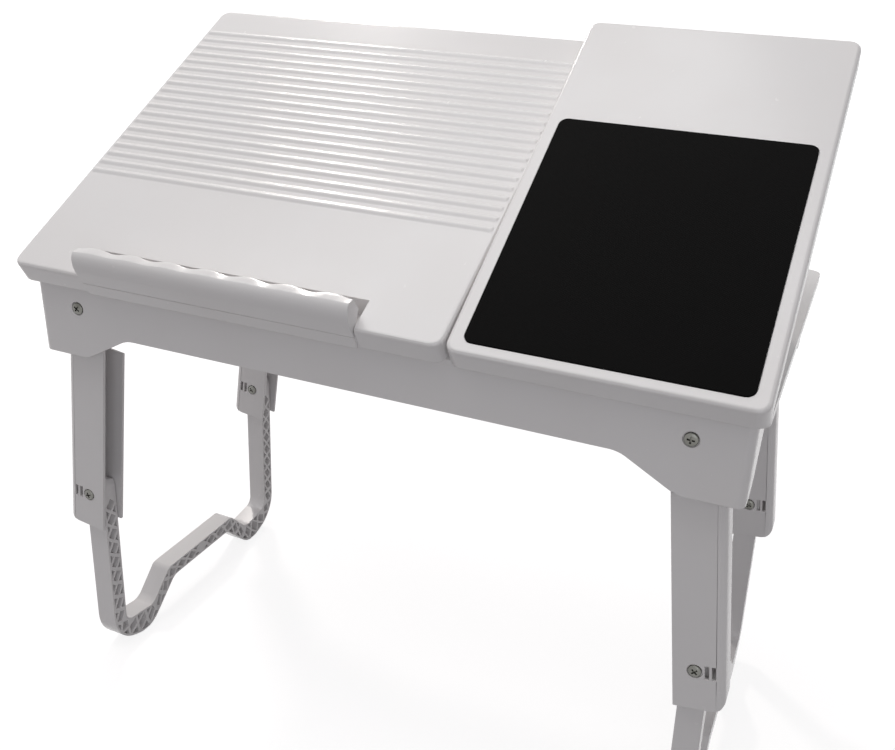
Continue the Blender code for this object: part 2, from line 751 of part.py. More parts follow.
def ridge_tools(board_range, hinge):
    """The raised ridges as one tool of separate beads."""
    beads = []
    radius = (RIDGE_WIDTH ** 2 / 4 + RIDGE_HEIGHT ** 2) / (2 * RIDGE_HEIGHT)
    spread = math.asin(RIDGE_WIDTH / 2 / radius)
    low = board_range[0] + RIDGE_LEFT_MARGIN
    high = board_range[1] - RIDGE_RIGHT_MARGIN
    steps = 4
    for index in range(RIDGE_COUNT):
        y = BOARD_FRONT + RIDGE_START + index * RIDGE_PITCH
        points = [(y - RIDGE_WIDTH / 2, BOARD_TOP - BOARD_WALL / 2)]
        for step in range(steps + 1):
            angle = spread * (2 * step / steps - 1)
            centre = BOARD_TOP + RIDGE_HEIGHT - radius
            points.append((y + radius * math.sin(angle), centre + radius * math.cos(angle)))
        points.append((y + RIDGE_WIDTH / 2, BOARD_TOP - BOARD_WALL / 2))
        beads.append(prism(f"ridge_{index}", [points], "YZ", low, high))
    bm = bmesh.new()
    for bead in beads:
        bm.from_mesh(bead.data)
        bpy.data.objects.remove(bead)
    return object_from("ridges", mesh_from("ridges", bm), parent=hinge)


def stop_range(board_range):
    start = board_range[0] + STOP_START
    return start, start + STOP_LENGTH


def stop_reach():
    """Distance from the stop's hinge to its farthest corner, and its folded depth."""
    farthest = 0.0
    for back, height in stop_outline():
        farthest = max(farthest, math.hypot(back - STOP_HINGE_INSET, height + STOP_HINGE_DROP))
    return farthest, STOP_BACK - STOP_HINGE_INSET


def add_stop_pocket(board, board_range, hinge):
    """The trough that takes the folded stop, and the thicker pad below it in front."""
    low, high = stop_range(board_range)
    reach, depth = stop_reach()
    back = BOARD_FRONT + STOP_HINGE_INSET + reach + 2 * CLEARANCE
    pocket_floor = BOARD_TOP - STOP_HINGE_DROP - depth - 2 * CLEARANCE
    ends = STOP_PIN_LENGTH
    trough = box(
        "stop_trough", (low - CLEARANCE - ends, high + CLEARANCE + ends),
        (BOARD_FRONT + BOARD_WALL / 2, back + BOARD_WALL),
        (pocket_floor - POCKET_FLOOR, BOARD_TOP - BOARD_WALL / 2), parent=hinge,
    )
    combine(board, trough, "UNION")
    pad = box(
        "stop_pad", (low, high), (BOARD_FRONT - STOP_PROUD, BOARD_FRONT + BOARD_WALL),
        (BOARD_BOTTOM, BOARD_TOP - STOP_FOOT - CLEARANCE), parent=hinge,
    )
    combine(board, pad, "UNION")
    pocket = box(
        "stop_pocket", (low - CLEARANCE, high + CLEARANCE), (BOARD_FRONT + BOARD_WALL, back),
        (pocket_floor, BOARD_TOP + OVERRUN), parent=hinge,
    )
    combine(board, pocket)
    mouth = box(
        "stop_mouth", (low - CLEARANCE, high + CLEARANCE),
        (BOARD_FRONT - OVERRUN, BOARD_FRONT + BOARD_WALL + OVERLAP),
        (BOARD_TOP - STOP_FOOT - CLEARANCE, BOARD_TOP + OVERRUN), parent=hinge,
    )
    combine(board, mouth)
    y = BOARD_FRONT + STOP_HINGE_INSET
    z = BOARD_TOP - STOP_HINGE_DROP
    for turn, x in ((-1, low), (1, high)):
        inner = x - turn * OVERLAP
        outer = x + turn * (STOP_PIN_LENGTH / 2 + CLEARANCE)
        combine(board, cylinder(
            f"stop_pin_hole_{turn}", STOP_PIN_RADIUS + CLEARANCE / 2, (inner, y, z), (outer, y, z),
            parent=hinge, segments=12,
        ))


def left_board(hinge, board_range, hinge_xs):
    board = board_shell("left_board", board_range, hinge)
    add_hinge_lugs(board, hinge_xs, hinge)
    add_prop_lugs(board, prop_middle(board_range), LEFT_PROP_WIDTH, hinge)
    combine(board, ridge_tools(board_range, hinge), "UNION")
    add_stop_pocket(board, board_range, hinge)
    smooth(board, 30)
    return board


def right_board(hinge, board_range, hinge_xs):
    board = board_shell("right_board", board_range, hinge)
    add_hinge_lugs(board, hinge_xs, hinge)
    add_prop_lugs(board, prop_middle(board_range), RIGHT_PROP_WIDTH, hinge)
    xs, ys = pad_area(board_range)
    recess = box(
        "pad_recess", (xs[0] - CLEARANCE, xs[1] + CLEARANCE), (ys[0] - CLEARANCE, ys[1] + CLEARANCE),
        (BOARD_TOP - PAD_RECESS, BOARD_TOP + OVERRUN), parent=hinge, corner=PAD_CORNER_RADIUS,
    )
    combine(board, recess)
    smooth(board, 30)
    return board


def pad_area(board_range):
    xs = (board_range[0] + PAD_SIDE_MARGIN, board_range[1] - PAD_SIDE_MARGIN)
    start = BOARD_FRONT + PAD_FRONT_MARGIN
    return xs, (start, start + PAD_DEPTH)


def mouse_pad(hinge, board_range):
    xs, ys = pad_area(board_range)
    low = BOARD_TOP - PAD_RECESS + CLEARANCE
    return box(
        "mouse_pad", xs, ys, (low, low + PAD_THICKNESS), BLACK_FOAM, hinge, corner=PAD_CORNER_RADIUS
    )


def laptop_stop(hinge, board_range):
    """The raised stop: a convex front and a rear edge scalloped in equal lobes."""
    low, high = stop_range(board_range)
    pivot = empty(
        "laptop_stop_hinge",
        (0, BOARD_FRONT + STOP_HINGE_INSET, BOARD_TOP - STOP_HINGE_DROP), parent=hinge,
    )
    points = [(y - STOP_HINGE_INSET, z + STOP_HINGE_DROP) for y, z in stop_outline()]
    stop = prism("laptop_stop", [points], "YZ", low, high, WHITE_PLASTIC, pivot)
    pitch = STOP_LENGTH / STOP_LOBES
    for index in range(STOP_LOBES):
        combine(stop, lobe_edge(index, low + pitch * index, pitch, pivot))
    for turn, x in ((-1, low), (1, high)):
        combine(stop, cylinder(
            f"stop_end_hole_{turn}", STOP_PIN_RADIUS + CLEARANCE / 2,
            (x + turn * OVERLAP, 0, 0), (x - turn * (STOP_PIN_LENGTH / 2 + CLEARANCE), 0, 0),
            parent=pivot, segments=12,
        ))
    smooth(stop, 35)
    return stop


def lobe_edge(index, start, pitch, pivot):
    """Cuts the stop's upper rear edge down to one arched lobe."""
    steps = 6
    top = STOP_HEIGHT + STOP_HINGE_DROP
    points = []
    for step in range(steps + 1):
        share = step / steps
        arch = STOP_LOBE_DEPTH * (2 * share - 1) ** 2
        points.append((start + pitch * share, top - arch))
    points.append((start + pitch, top + OVERRUN))
    points.append((start, top + OVERRUN))
    return prism(
        f"stop_lobe_{index}", [points], "XZ", STOP_BACK * 0.3, STOP_BACK + OVERRUN, parent=pivot
    )


def stop_pins(hinge, board_range):
    y = BOARD_FRONT + STOP_HINGE_INSET
    z = BOARD_TOP - STOP_HINGE_DROP
    half = STOP_PIN_LENGTH / 2
    for label, x in zip(("left", "right"), stop_range(board_range)):
        pin = cylinder(
            f"stop_{label}_pin", STOP_PIN_RADIUS, (x - half, y, z), (x + half, y, z), BRIGHT_STEEL, hinge,
            segments=12,
        )
        smooth(pin)


def prop(name, board_range, width, tilt, hinge):
    """A bent wire: two ends in the board's clips, two arms and a foot bar on the deck."""
    middle = prop_middle(board_range)
    pivot = empty(name + "_hinge", (0, PROP_ARM, 0), (-2 * tilt, 0, 0), hinge)
    half = width / 2
    inner = half - PROP_BEND - PROP_LUG_WIDTH - 2 * OVERLAP
    path = [(-inner, 0.0), (-half, 0.0), (-half, PROP_ARM), (half, PROP_ARM), (half, 0.0), (inner, 0.0)]
    radii = [0, PROP_BEND / 2, PROP_BEND, PROP_BEND, PROP_BEND / 2, 0]
    points = rounded(path, radii)
    curve = bpy.data.curves.new(name, "CURVE")
    curve.dimensions = "3D"
    curve.bevel_depth = PROP_RADIUS
    curve.bevel_resolution = 2
    curve.use_fill_caps = True
    spline = curve.splines.new("POLY")
    spline.points.add(len(points) - 1)
    for point, place in zip(spline.points, points):
        point.co = (middle + place[0], place[1], 0.0, 1.0)
    wire = bpy.data.objects.new(name, curve)
    PARTS.objects.link(wire)
    curve.materials.append(material(name, *BRIGHT_STEEL))
    wire.parent = pivot
    return wire


# Legs, drawn upright with the axle at X = 0, Z = 0 of their empty

def upright(name, side, end, pivot):
    """A channel open towards the middle of the table."""
    outer, inner = channel_ys(end)
    xs = sorted((side * CHANNEL_OUTWARD, -side * CHANNEL_INWARD))
    bottom = -(LEG_SPAN + CHANNEL_BELOW_KNEE)
    top = CHANNEL_INWARD
    leg = box(name, xs, sorted((outer, inner)), (bottom, top), WHITE_PLASTIC, pivot)
    bm = bmesh.new()
    bm.from_mesh(leg.data)
    web_edges = [
        e for e in bm.edges
        if all(abs(v.co.x - side * CHANNEL_OUTWARD) < 1e-6 for v in e.verts)
        and abs(e.verts[0].co.z - e.verts[1].co.z) > CHANNEL_BELOW_KNEE
    ]
    bmesh.ops.bevel(
        bm, geom=web_edges, offset=CHANNEL_CORNER_RADIUS, segments=ARC_SEGMENTS, affect="EDGES", profile=0.5
    )
    bm.to_mesh(leg.data)
    bm.free()
    for tool in upright_cuts(name, side, end, pivot, bottom, top):
        combine(leg, tool)
    boss_start = outer - end * CHANNEL_WALL / 2
    boss_end = LEG_MIDDLE_Y + end * (SHIN_OUTER + SHIN_LEAN + CLEARANCE)
    combine(leg, cylinder(
        name + "_knee_boss", BOSS_RADIUS, (0, boss_start, -LEG_SPAN), (0, boss_end, -LEG_SPAN),
        parent=pivot,
    ), "UNION")
    front = min(outer, inner)
    rear = max(outer, inner)
    combine(leg, cylinder(
        name + "_knee_hole", SCREW_SHANK_RADIUS + CLEARANCE, (0, front - OVERRUN, -LEG_SPAN),
        (0, rear + OVERRUN, -LEG_SPAN), parent=pivot, segments=12,
    ))
    combine(leg, cylinder(
        name + "_head_recess", SCREW_HEAD_RADIUS + 2 * CLEARANCE, (0, front - OVERRUN, -LEG_SPAN),
        (0, front + SCREW_RECESS, -LEG_SPAN), parent=pivot,
    ))
    smooth(leg)
    return leg


def upright_cuts(name, side, end, pivot, bottom, top):
    outer, inner = channel_ys(end)
    walls = sorted((outer - end * CHANNEL_WALL, inner + end * CHANNEL_WALL))
    hollow_xs = sorted((side * (CHANNEL_OUTWARD - CHANNEL_WALL), -side * (CHANNEL_INWARD + OVERRUN)))
    tools = [box(name + "_hollow", hollow_xs, walls, (bottom - OVERRUN, top + OVERRUN), parent=pivot)]
    everything = sorted((outer + end * OVERRUN, inner - end * OVERRUN))
    tools.append(cylinder(
        name + "_axle_hole", AXLE_RADIUS + CLEARANCE, (0, everything[0], 0), (0, everything[1], 0),
        parent=pivot,
    ))
    notch_xs = sorted((side * FOLD_NOTCH_OUTWARD, -side * (CHANNEL_INWARD + OVERRUN)))
    notch_ys = sorted((inner - end * OVERRUN, inner + end * (CHANNEL_WALL + OVERLAP)))
    tools.append(box(
        name + "_fold_notch", notch_xs, notch_ys, (-FOLD_NOTCH_BOTTOM, -FOLD_NOTCH_TOP), parent=pivot
    ))
    for index, offset in enumerate(SLOT_OFFSETS):
        xs = sorted((side * (offset - SLOT_WIDTH / 2), side * (offset + SLOT_WIDTH / 2)))
        zs = (-LEG_SPAN - SLOT_HEIGHT / 2, -LEG_SPAN + SLOT_HEIGHT / 2)
        tools.append(box(f"{name}_slot_{index}", xs, everything, zs, parent=pivot))
    tools.append(round_top(name, side, pivot, everything))
    tools.append(round_end(name, side, pivot, everything, bottom))
    return tools


def round_top(name, side, pivot, everything):
    """Rounds both top corners about the axle, so that they clear the deck and the leg rest."""
    steps = 6
    level = math.asin(CHANNEL_INWARD / CHANNEL_OUTWARD)
    points = []
    for step in range(steps + 1):
        angle = math.pi / 2 * step / steps
        points.append((-side * CHANNEL_INWARD * math.cos(angle), CHANNEL_INWARD * math.sin(angle)))
    for step in range(steps + 1):
        angle = level * (1 - step / steps)
        points.append((side * CHANNEL_OUTWARD * math.cos(angle), CHANNEL_OUTWARD * math.sin(angle)))
    far = CHANNEL_OUTWARD + OVERRUN
    points += [(side * far, 0.0), (side * far, far), (-side * far, far), (-side * far, 0.0)]
    return prism(name + "_round_top", [points], "XZ", *everything, parent=pivot)


def round_end(name, side, pivot, everything, bottom):
    """Rounds the outer corner of the upright's lower end."""
    outward = side * CHANNEL_OUTWARD
    start = (outward - 2 * side * CHANNEL_END_RADIUS, bottom)
    corner = (outward, bottom)
    end = (outward, bottom + 2 * CHANNEL_END_RADIUS)
    points = corner_arc(start, corner, end, CHANNEL_END_RADIUS)
    far = outward + side * OVERRUN
    points += [(far, points[-1][1]), (far, bottom - OVERRUN), (points[0][0], bottom - OVERRUN)]
    return prism(name + "_round_end", [points], "XZ", *everything, parent=pivot)


def shin_sections():
    """Half of the bar's outer and inner outlines, from the knee to the middle of the bridge.

    Each is a list of corners (distance from the middle, drop below the knee) with their radii.
    """
    sole = KNEE_HEIGHT + SOLE_FLAT
    spread = 1 + math.cos(SOLE_SLOPE + RISE_SLOPE)
    toe = (
        TOE_OFFSET - TOE_RADIUS * (math.sin(RISE_SLOPE) - math.sin(SOLE_SLOPE)) / spread,
        sole - TOE_RADIUS + TOE_RADIUS * (math.cos(SOLE_SLOPE) + math.cos(RISE_SLOPE)) / spread,
    )
    heel_out = SHIN_OUTER + SHIN_LEAN
    heel = (heel_out, toe[1] - (heel_out - toe[0]) * math.tan(SOLE_SLOPE))
    bridge_under = KNEE_HEIGHT - BRIDGE_CLEARANCE
    rise = (toe[0] - (toe[1] - bridge_under) / math.tan(RISE_SLOPE), bridge_under)
    outer = [(SHIN_OUTER, 0.0), heel, toe, rise, (0.0, bridge_under)]
    bridge_top = bridge_under - BRIDGE_THICKNESS
    inner = [
        (SHIN_INNER, 0.0),
        (SHIN_INNER + SHIN_LEAN, KNEE_HEIGHT - HEEL_DROP),
        (INSTEP_OFFSET, KNEE_HEIGHT - INSTEP),
        (BRIDGE_CORNER, bridge_top),
        (0.0, bridge_top),
    ]
    outer_radii = [0, HEEL_RADIUS, TOE_RADIUS, RISE_RADIUS, 0]
    inner_radii = [0, HEEL_INNER_RADIUS, INSTEP_RADIUS, BRIDGE_RADIUS, 0]
    return (outer, outer_radii), (inner, inner_radii)


def pieces_between_corners(corners, radii):
    """The rounded outline split at the middle of each corner's arc."""
    runs = []
    current = [Vector(corners[0])]
    for index in range(1, len(corners) - 1):
        around = corners[index - 1:index + 2]
        arc = [Vector(point) for point in corner_arc(*around, radii[index], SHIN_ARC_SEGMENTS)]
        half = len(arc) // 2
        current += arc[:half + 1]
        runs.append(current)
        current = arc[half:]
    current.append(Vector(corners[-1]))
    runs.append(current)
    return runs


def along(points, share):
    """The point at a share of a polyline's length."""
    target = share * run_length(points)
    for start, end in zip(points, points[1:]):
        length = (end - start).length
        if target <= length:
            return start.lerp(end, target / length if length else 0.0)
        target -= length
    return points[-1]


def lattice_pockets():
    """Pockets of the crossed ribs along one half of the bar: diamonds and edge triangles."""
    (outer, outer_radii), (inner, inner_radii) = shin_sections()
    rungs = []
    for out_run, in_run in zip(
        pieces_between_corners(outer, outer_radii), pieces_between_corners(inner, inner_radii)
    ):
        length = (run_length(out_run) + run_length(in_run)) / 2
        halves = 2 * max(1, round(length / LATTICE_PITCH))
        for step in range(halves):
            rungs.append(rung(along(out_run, step / halves), along(in_run, step / halves)))
    rungs.append(rung(out_run[-1], in_run[-1]))
    crossings = [(a + b) / 2 for a, b in rungs[1::2]]
    pockets = []
    for index, crossing in enumerate(crossings):
        for start, bend, end in zip(*rungs[2 * index:2 * index + 3]):
            off_line = abs((end - start).cross(bend - start)) / (end - start).length
            edge = [start, bend, end] if off_line > CLEARANCE else [start, end]
            pockets.append(edge + [crossing])
    for (a, b), before, after in zip(rungs[2::2], crossings, crossings[1:]):
        pockets.append([before, a, after, b])
    shrunk = [inset_pocket(corners) for corners in pockets]
    return [pocket for pocket in shrunk if pocket and min(p.y for p in pocket) > BOSS_RADIUS]


def run_length(points):
    return sum((b - a).length for a, b in zip(points, points[1:]))


def rung(outer, inner):
    """A line across the bar, shortened by the rim at both ends."""
    share = LATTICE_RIM / (inner - outer).length
    return outer.lerp(inner, share), inner.lerp(outer, share)


def inset_pocket(corners):
    """A pocket shrunk by half the rib, or None where too little is left."""
    centre = sum(corners, Vector((0.0, 0.0))) / len(corners)
    reach = []
    for start, end in zip(corners, corners[1:] + corners[:1]):
        side = end - start
        if side.length < LATTICE_RIB:
            return None
        reach.append(abs(side.cross(centre - start)) / side.length)
    keep = 1 - LATTICE_RIB / 2 / min(reach)
    if keep < 0.3:
        return None
    return [centre + (corner - centre) * keep for corner in corners]


def lower_leg(name, side, knee):
    """One bar for both feet: two shins, two rounded feet and the bridge between them."""
    (outer, outer_radii), (inner, inner_radii) = shin_sections()
    outer_half = rounded(outer, outer_radii, SHIN_ARC_SEGMENTS)
    inner_half = rounded(inner, inner_radii, SHIN_ARC_SEGMENTS)
    tips = [(SHIN_INNER, -SHIN_TIP_BACK), (SHIN_OUTER, -SHIN_TIP)]
    half = tips[1:] + outer_half[1:-1]
    inner_back = list(reversed(inner_half[1:-1])) + tips[:1]
    front = [(LEG_MIDDLE_Y - t, -u) for t, u in half]
    rear = [(LEG_MIDDLE_Y + t, -u) for t, u in reversed(half)]
    rear_inner = [(LEG_MIDDLE_Y + t, -u) for t, u in reversed(inner_back)]
    front_inner = [(LEG_MIDDLE_Y - t, -u) for t, u in inner_back]
    outline = front + rear + rear_inner + front_inner
    half_width = SHIN_WIDTH / 2
    bar = prism(name, [outline], "YZ", -half_width, half_width, WHITE_PLASTIC, knee)
    floor = box(
        name + "_floor", (-TABLE_WIDTH, TABLE_WIDTH), (-TABLE_WIDTH, TABLE_WIDTH), (-LONG_OVERRUN, 0.0),
    )
    combine(bar, floor)
    combine(bar, cylinder(
        name + "_knee_hole", SCREW_SHANK_RADIUS + CLEARANCE, (0, LEG_MIDDLE_Y - SHIN_OUTER - OVERRUN, 0),
        (0, LEG_MIDDLE_Y + SHIN_OUTER + OVERRUN, 0), parent=knee, segments=12,
    ))
    combine(bar, tip_round(name, knee))
    pockets = []
    for mirror in (-1, 1):
        for pocket in lattice_pockets():
            pockets.append([(LEG_MIDDLE_Y + mirror * p.x, -p.y) for p in pocket])
    face = -side * half_width
    depth = sorted((face - side * OVERRUN, face + side * LATTICE_DEPTH))
    combine(bar, prism(name + "_lattice", pockets, "YZ", *depth, parent=knee))
    smooth(bar)
    return bar


def tip_round(name, knee):
    """Rounds the bar's upper end about the knee, so that it turns inside the channel."""
    radius = SHIN_WIDTH / 2
    reach = LEG_MIDDLE_Y - SHIN_OUTER - OVERRUN, LEG_MIDDLE_Y + SHIN_OUTER + OVERRUN
    steps = 8
    high = SHIN_TIP + OVERRUN
    wide = radius + OVERRUN
    points = [(-wide, 0.0)]
    for step in range(steps + 1):
        angle = math.pi * step / steps
        points.append((-radius * math.cos(angle), SHIN_TIP * math.sin(angle) * 0.98))
    points += [(wide, 0.0), (wide, high), (-wide, high)]
    return prism(name + "_tip_round", [points], "XZ", *reach, parent=knee)


def knee_fasteners(label, end, pivot):
    """A cross-head screw from the front and the nut on its far end."""
    front, rear = sorted(channel_ys(end))
    length = rear - front + NUT_HEIGHT - SCREW_RECESS
    screw(f"{label}_knee_screw", 0.0, front, -1, -LEG_SPAN, length, pivot)
    start = rear + CLEARANCE
    nut = cylinder(
        f"{label}_knee_nut", NUT_RADIUS, (0, start, -LEG_SPAN), (0, start + NUT_HEIGHT, -LEG_SPAN),
        BRIGHT_STEEL, pivot, segments=6,
    )
    combine(nut, cylinder(
        f"{label}_nut_bore", SCREW_SHANK_RADIUS + CLEARANCE, (0, start - OVERLAP, -LEG_SPAN),
        (0, start + NUT_HEIGHT + OVERLAP, -LEG_SPAN), parent=pivot, segments=12,
    ))


def build_legs():
    for label, side in (("left", -1), ("right", 1)):
        x = side * LEG_PIVOT_X
        axle(f"{label}_leg_axle", x)
        pivot = empty(f"{label}_leg_hinge", (x, 0, LEG_PIVOT_Z), (0, -side * LEG_SPLAY, 0))
        ends = (("front", -1, DECK_FRONT_Y), ("rear", 1, APRON_REAR_Y))
        for end_label, end, face in ends:
            upright(f"{label}_{end_label}_upright", side, end, pivot)
            knee_fasteners(f"{label}_{end_label}", end, pivot)
            screw(f"{label}_{end_label}_axle_screw", x, face, end, LEG_PIVOT_Z, AXLE_BORE_DEPTH - OVERLAP)
        knee = empty(f"{label}_knee", (0, 0, -LEG_SPAN), (0, side * (LEG_SPLAY - SHIN_SPLAY), 0), pivot)
        lower_leg(f"{label}_lower_leg", side, knee)


def build_boards():
    left, right = board_ranges()
    left_xs = hinge_pair(left, LEFT_HINGE_INSETS)
    right_xs = hinge_pair(right, RIGHT_HINGE_INSETS)
    left_hinge = empty("left_board_hinge", (0, HINGE_Y, HINGE_Z), (LEFT_TILT, 0, 0))
    right_hinge = empty("right_board_hinge", (0, HINGE_Y, HINGE_Z), (RIGHT_TILT, 0, 0))
    left_board(left_hinge, left, left_xs)
    laptop_stop(left_hinge, left)
    stop_pins(left_hinge, left)
    prop("left_prop", left, LEFT_PROP_WIDTH, LEFT_TILT, left_hinge)
    right_board(right_hinge, right, right_xs)
    mouse_pad(right_hinge, right)
    prop("right_prop", right, RIGHT_PROP_WIDTH, RIGHT_TILT, right_hinge)
    for board_label, xs in (("left", left_xs), ("right", right_xs)):
        places = ("outer", "inner") if board_label == "left" else ("inner", "outer")
        for place_label, x in zip(places, xs):
            hinge_pin(f"{board_label}_board_{place_label}_hinge_pin", x)


base_tray()
build_legs()
build_boards()
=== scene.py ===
# %% [markdown]
# # A folding laptop table
# The real table is ten white mouldings, a mouse pad, two wire props and a handful of steel
# fasteners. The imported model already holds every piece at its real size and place, so this
# lesson never moves anything. It gives each moulding its soft edges, models the small things
# again with more care, and paints every surface with procedural materials.

# %% Load the frame
import json
import math

import bmesh
import bpy
from mathutils import Matrix, Vector


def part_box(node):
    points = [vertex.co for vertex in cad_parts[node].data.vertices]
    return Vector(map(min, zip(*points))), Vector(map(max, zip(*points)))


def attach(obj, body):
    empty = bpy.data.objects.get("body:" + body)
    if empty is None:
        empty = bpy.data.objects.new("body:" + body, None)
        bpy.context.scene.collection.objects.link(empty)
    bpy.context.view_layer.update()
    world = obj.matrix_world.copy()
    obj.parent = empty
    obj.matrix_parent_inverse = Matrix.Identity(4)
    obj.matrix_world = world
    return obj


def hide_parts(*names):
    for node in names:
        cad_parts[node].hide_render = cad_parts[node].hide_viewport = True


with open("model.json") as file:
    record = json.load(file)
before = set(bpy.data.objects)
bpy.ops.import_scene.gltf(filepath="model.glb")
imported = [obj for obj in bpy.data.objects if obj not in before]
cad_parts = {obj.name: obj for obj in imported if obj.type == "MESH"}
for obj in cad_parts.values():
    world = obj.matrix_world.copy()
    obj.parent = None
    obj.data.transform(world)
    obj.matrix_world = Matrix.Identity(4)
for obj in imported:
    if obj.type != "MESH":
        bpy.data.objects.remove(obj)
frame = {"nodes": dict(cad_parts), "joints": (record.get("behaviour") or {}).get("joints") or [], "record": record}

MM = 0.001
NODES = frame["nodes"]
JOINTS = {joint["name"]: joint for joint in frame["joints"]}
BODY_OF = {node: body for body, nodes in frame["record"]["behaviour"]["bodies"].items() for node in nodes}
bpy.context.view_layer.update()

# %% [markdown]
# ## The camera
# The photograph looks down at the table's front from its right-hand side. A camera could be
# aimed with a tracking constraint, but here its three turns are known, so they are written
# as a heading, a dip and a small roll, and the matrix is built from them.

# %% Place the camera
CAMERA_PLACE = Vector((293.6, -668.5, 587.8)) * MM
CAMERA_HEADING = math.radians(-21.86)
CAMERA_DIP = math.radians(24.52)
CAMERA_ROLL = math.radians(2.6)
CAMERA_LENS = 40.3
CAMERA_SHIFT = (-0.0197, 0.0187)


def camera_axes():
    """Right, up and backward directions of the camera."""
    level = math.cos(CAMERA_DIP)
    ahead = Vector((
        math.sin(CAMERA_HEADING) * level, math.cos(CAMERA_HEADING) * level, -math.sin(CAMERA_DIP)
    ))
    right = Vector((math.cos(CAMERA_HEADING), -math.sin(CAMERA_HEADING), 0))
    up = right.cross(ahead)
    rolled_right = math.cos(CAMERA_ROLL) * right + math.sin(CAMERA_ROLL) * up
    rolled_up = math.cos(CAMERA_ROLL) * up - math.sin(CAMERA_ROLL) * right
    return rolled_right, rolled_up, -ahead


def make_camera():
    data = bpy.data.cameras.new("photo_camera")
    data.lens = CAMERA_LENS
    data.shift_x, data.shift_y = CAMERA_SHIFT
    camera = bpy.data.objects.new("photo_camera", data)
    bpy.context.scene.collection.objects.link(camera)
    turn = Matrix(camera_axes()).transposed().to_4x4()
    camera.matrix_world = Matrix.Translation(CAMERA_PLACE) @ turn
    bpy.context.scene.camera = camera


make_camera()
print("Camera stands", round(CAMERA_PLACE.length, 3), "m from the origin")

# %% [markdown]
# ## Places on the tilted boards
# Both boards lean back on hinges along the front edge. A point on a board is easiest to
# describe with the board lying flat, so one matrix per board turns flat places into real
# ones. The tilt is read from the joint: its lower limit is where the board lies flat.

# %% Board matrices
TILTS = {side: -math.radians(JOINTS[f"{side}_board_tilt"]["range_deg"][0]) for side in ("left", "right")}


def board_place(side):
    hinge = Vector(JOINTS[f"{side}_board_tilt"]["pos_m"])
    return Matrix.Translation((0, hinge.y, hinge.z)) @ Matrix.Rotation(TILTS[side], 4, "X")


def laid_flat(node, place):
    """A node's points, measured in the flat board's own directions."""
    back = place.inverted()
    return [back @ vertex.co for vertex in NODES[node].data.vertices]


def extent(points):
    """Lowest and highest corner of the box around some points."""
    low = Vector([min(point[axis] for point in points) for axis in range(3)])
    high = Vector([max(point[axis] for point in points) for axis in range(3)])
    return low, high


def flat_box(node, place):
    return extent(laid_flat(node, place))


# %% [markdown]
# ## Shader groups
# Moulded plastic, plated steel and woven cloth share a few effects: a fine grain, marks from
# handling, and worn edges. Each is a node group with its own inputs, built once and placed in
# every material that needs it with that material's values.

# %% Helpers for node trees
def new_group(name, inputs, outputs):
    """A shader group with float inputs, given as name and default, and named outputs."""
    tree = bpy.data.node_groups.new(name, "ShaderNodeTree")
    tree.interface.new_socket("Vector", in_out="INPUT", socket_type="NodeSocketVector")
    for label, default in inputs:
        socket = tree.interface.new_socket(label, in_out="INPUT", socket_type="NodeSocketFloat")
        socket.default_value = default
    for label in outputs:
        tree.interface.new_socket(label, in_out="OUTPUT", socket_type="NodeSocketFloat")
    return tree, tree.nodes.new("NodeGroupInput"), tree.nodes.new("NodeGroupOutput")


def add_node(tree, kind, inputs=None, **settings):
    """A node with its settings, its constants and its links, in one call."""
    node = tree.nodes.new(kind)
    for label, value in settings.items():
        setattr(node, label, value)
    for label, value in (inputs or {}).items():
        if isinstance(value, bpy.types.NodeSocket):
            tree.links.new(value, node.inputs[label])
        else:
            node.inputs[label].default_value = value
    return node


def combine(tree, operation, first, second, clamp=False):
    """The result of a Math node on two values or sockets."""
    node = add_node(tree, "ShaderNodeMath", {0: first, 1: second}, operation=operation, use_clamp=clamp)
    return node.outputs[0]


def add_part(tree, base, mask, amount):
    """A base value or socket, with a mask times an amount added to it."""
    inputs = {0: mask, 1: amount, 2: base}
    return add_node(tree, "ShaderNodeMath", inputs, operation="MULTIPLY_ADD").outputs[0]


def blend_colors(tree, share, first, second):
    """One colour mixed into another by a share that changes over the surface."""
    node = tree.nodes.new("ShaderNodeMix")
    node.data_type = "RGBA"
    for index, value in ((0, share), (6, first), (7, second)):
        if isinstance(value, bpy.types.NodeSocket):
            tree.links.new(value, node.inputs[index])
        else:
            node.inputs[index].default_value = value
    return node.outputs[2]


# %% Fine grain
def make_fine_grain():
    """Small even unevenness, as in a moulded skin or a plated surface."""
    tree, inside, outside = new_group("fine_grain", [("Grain Size", 0.6 * MM), ("Waviness Size", 20 * MM)],
                                      ["Grain", "Waviness"])
    for label, size_label, detail in (("Grain", "Grain Size", 3.0), ("Waviness", "Waviness Size", 1.0)):
        scale = combine(tree, "DIVIDE", 1.0, inside.outputs[size_label])
        noise = add_node(tree, "ShaderNodeTexNoise", {
            "Vector": inside.outputs["Vector"], "Scale": scale, "Detail": detail, "Roughness": 0.55,
        })
        tree.links.new(noise.outputs["Fac"], outside.inputs[label])
    return tree


FINE_GRAIN = make_fine_grain()


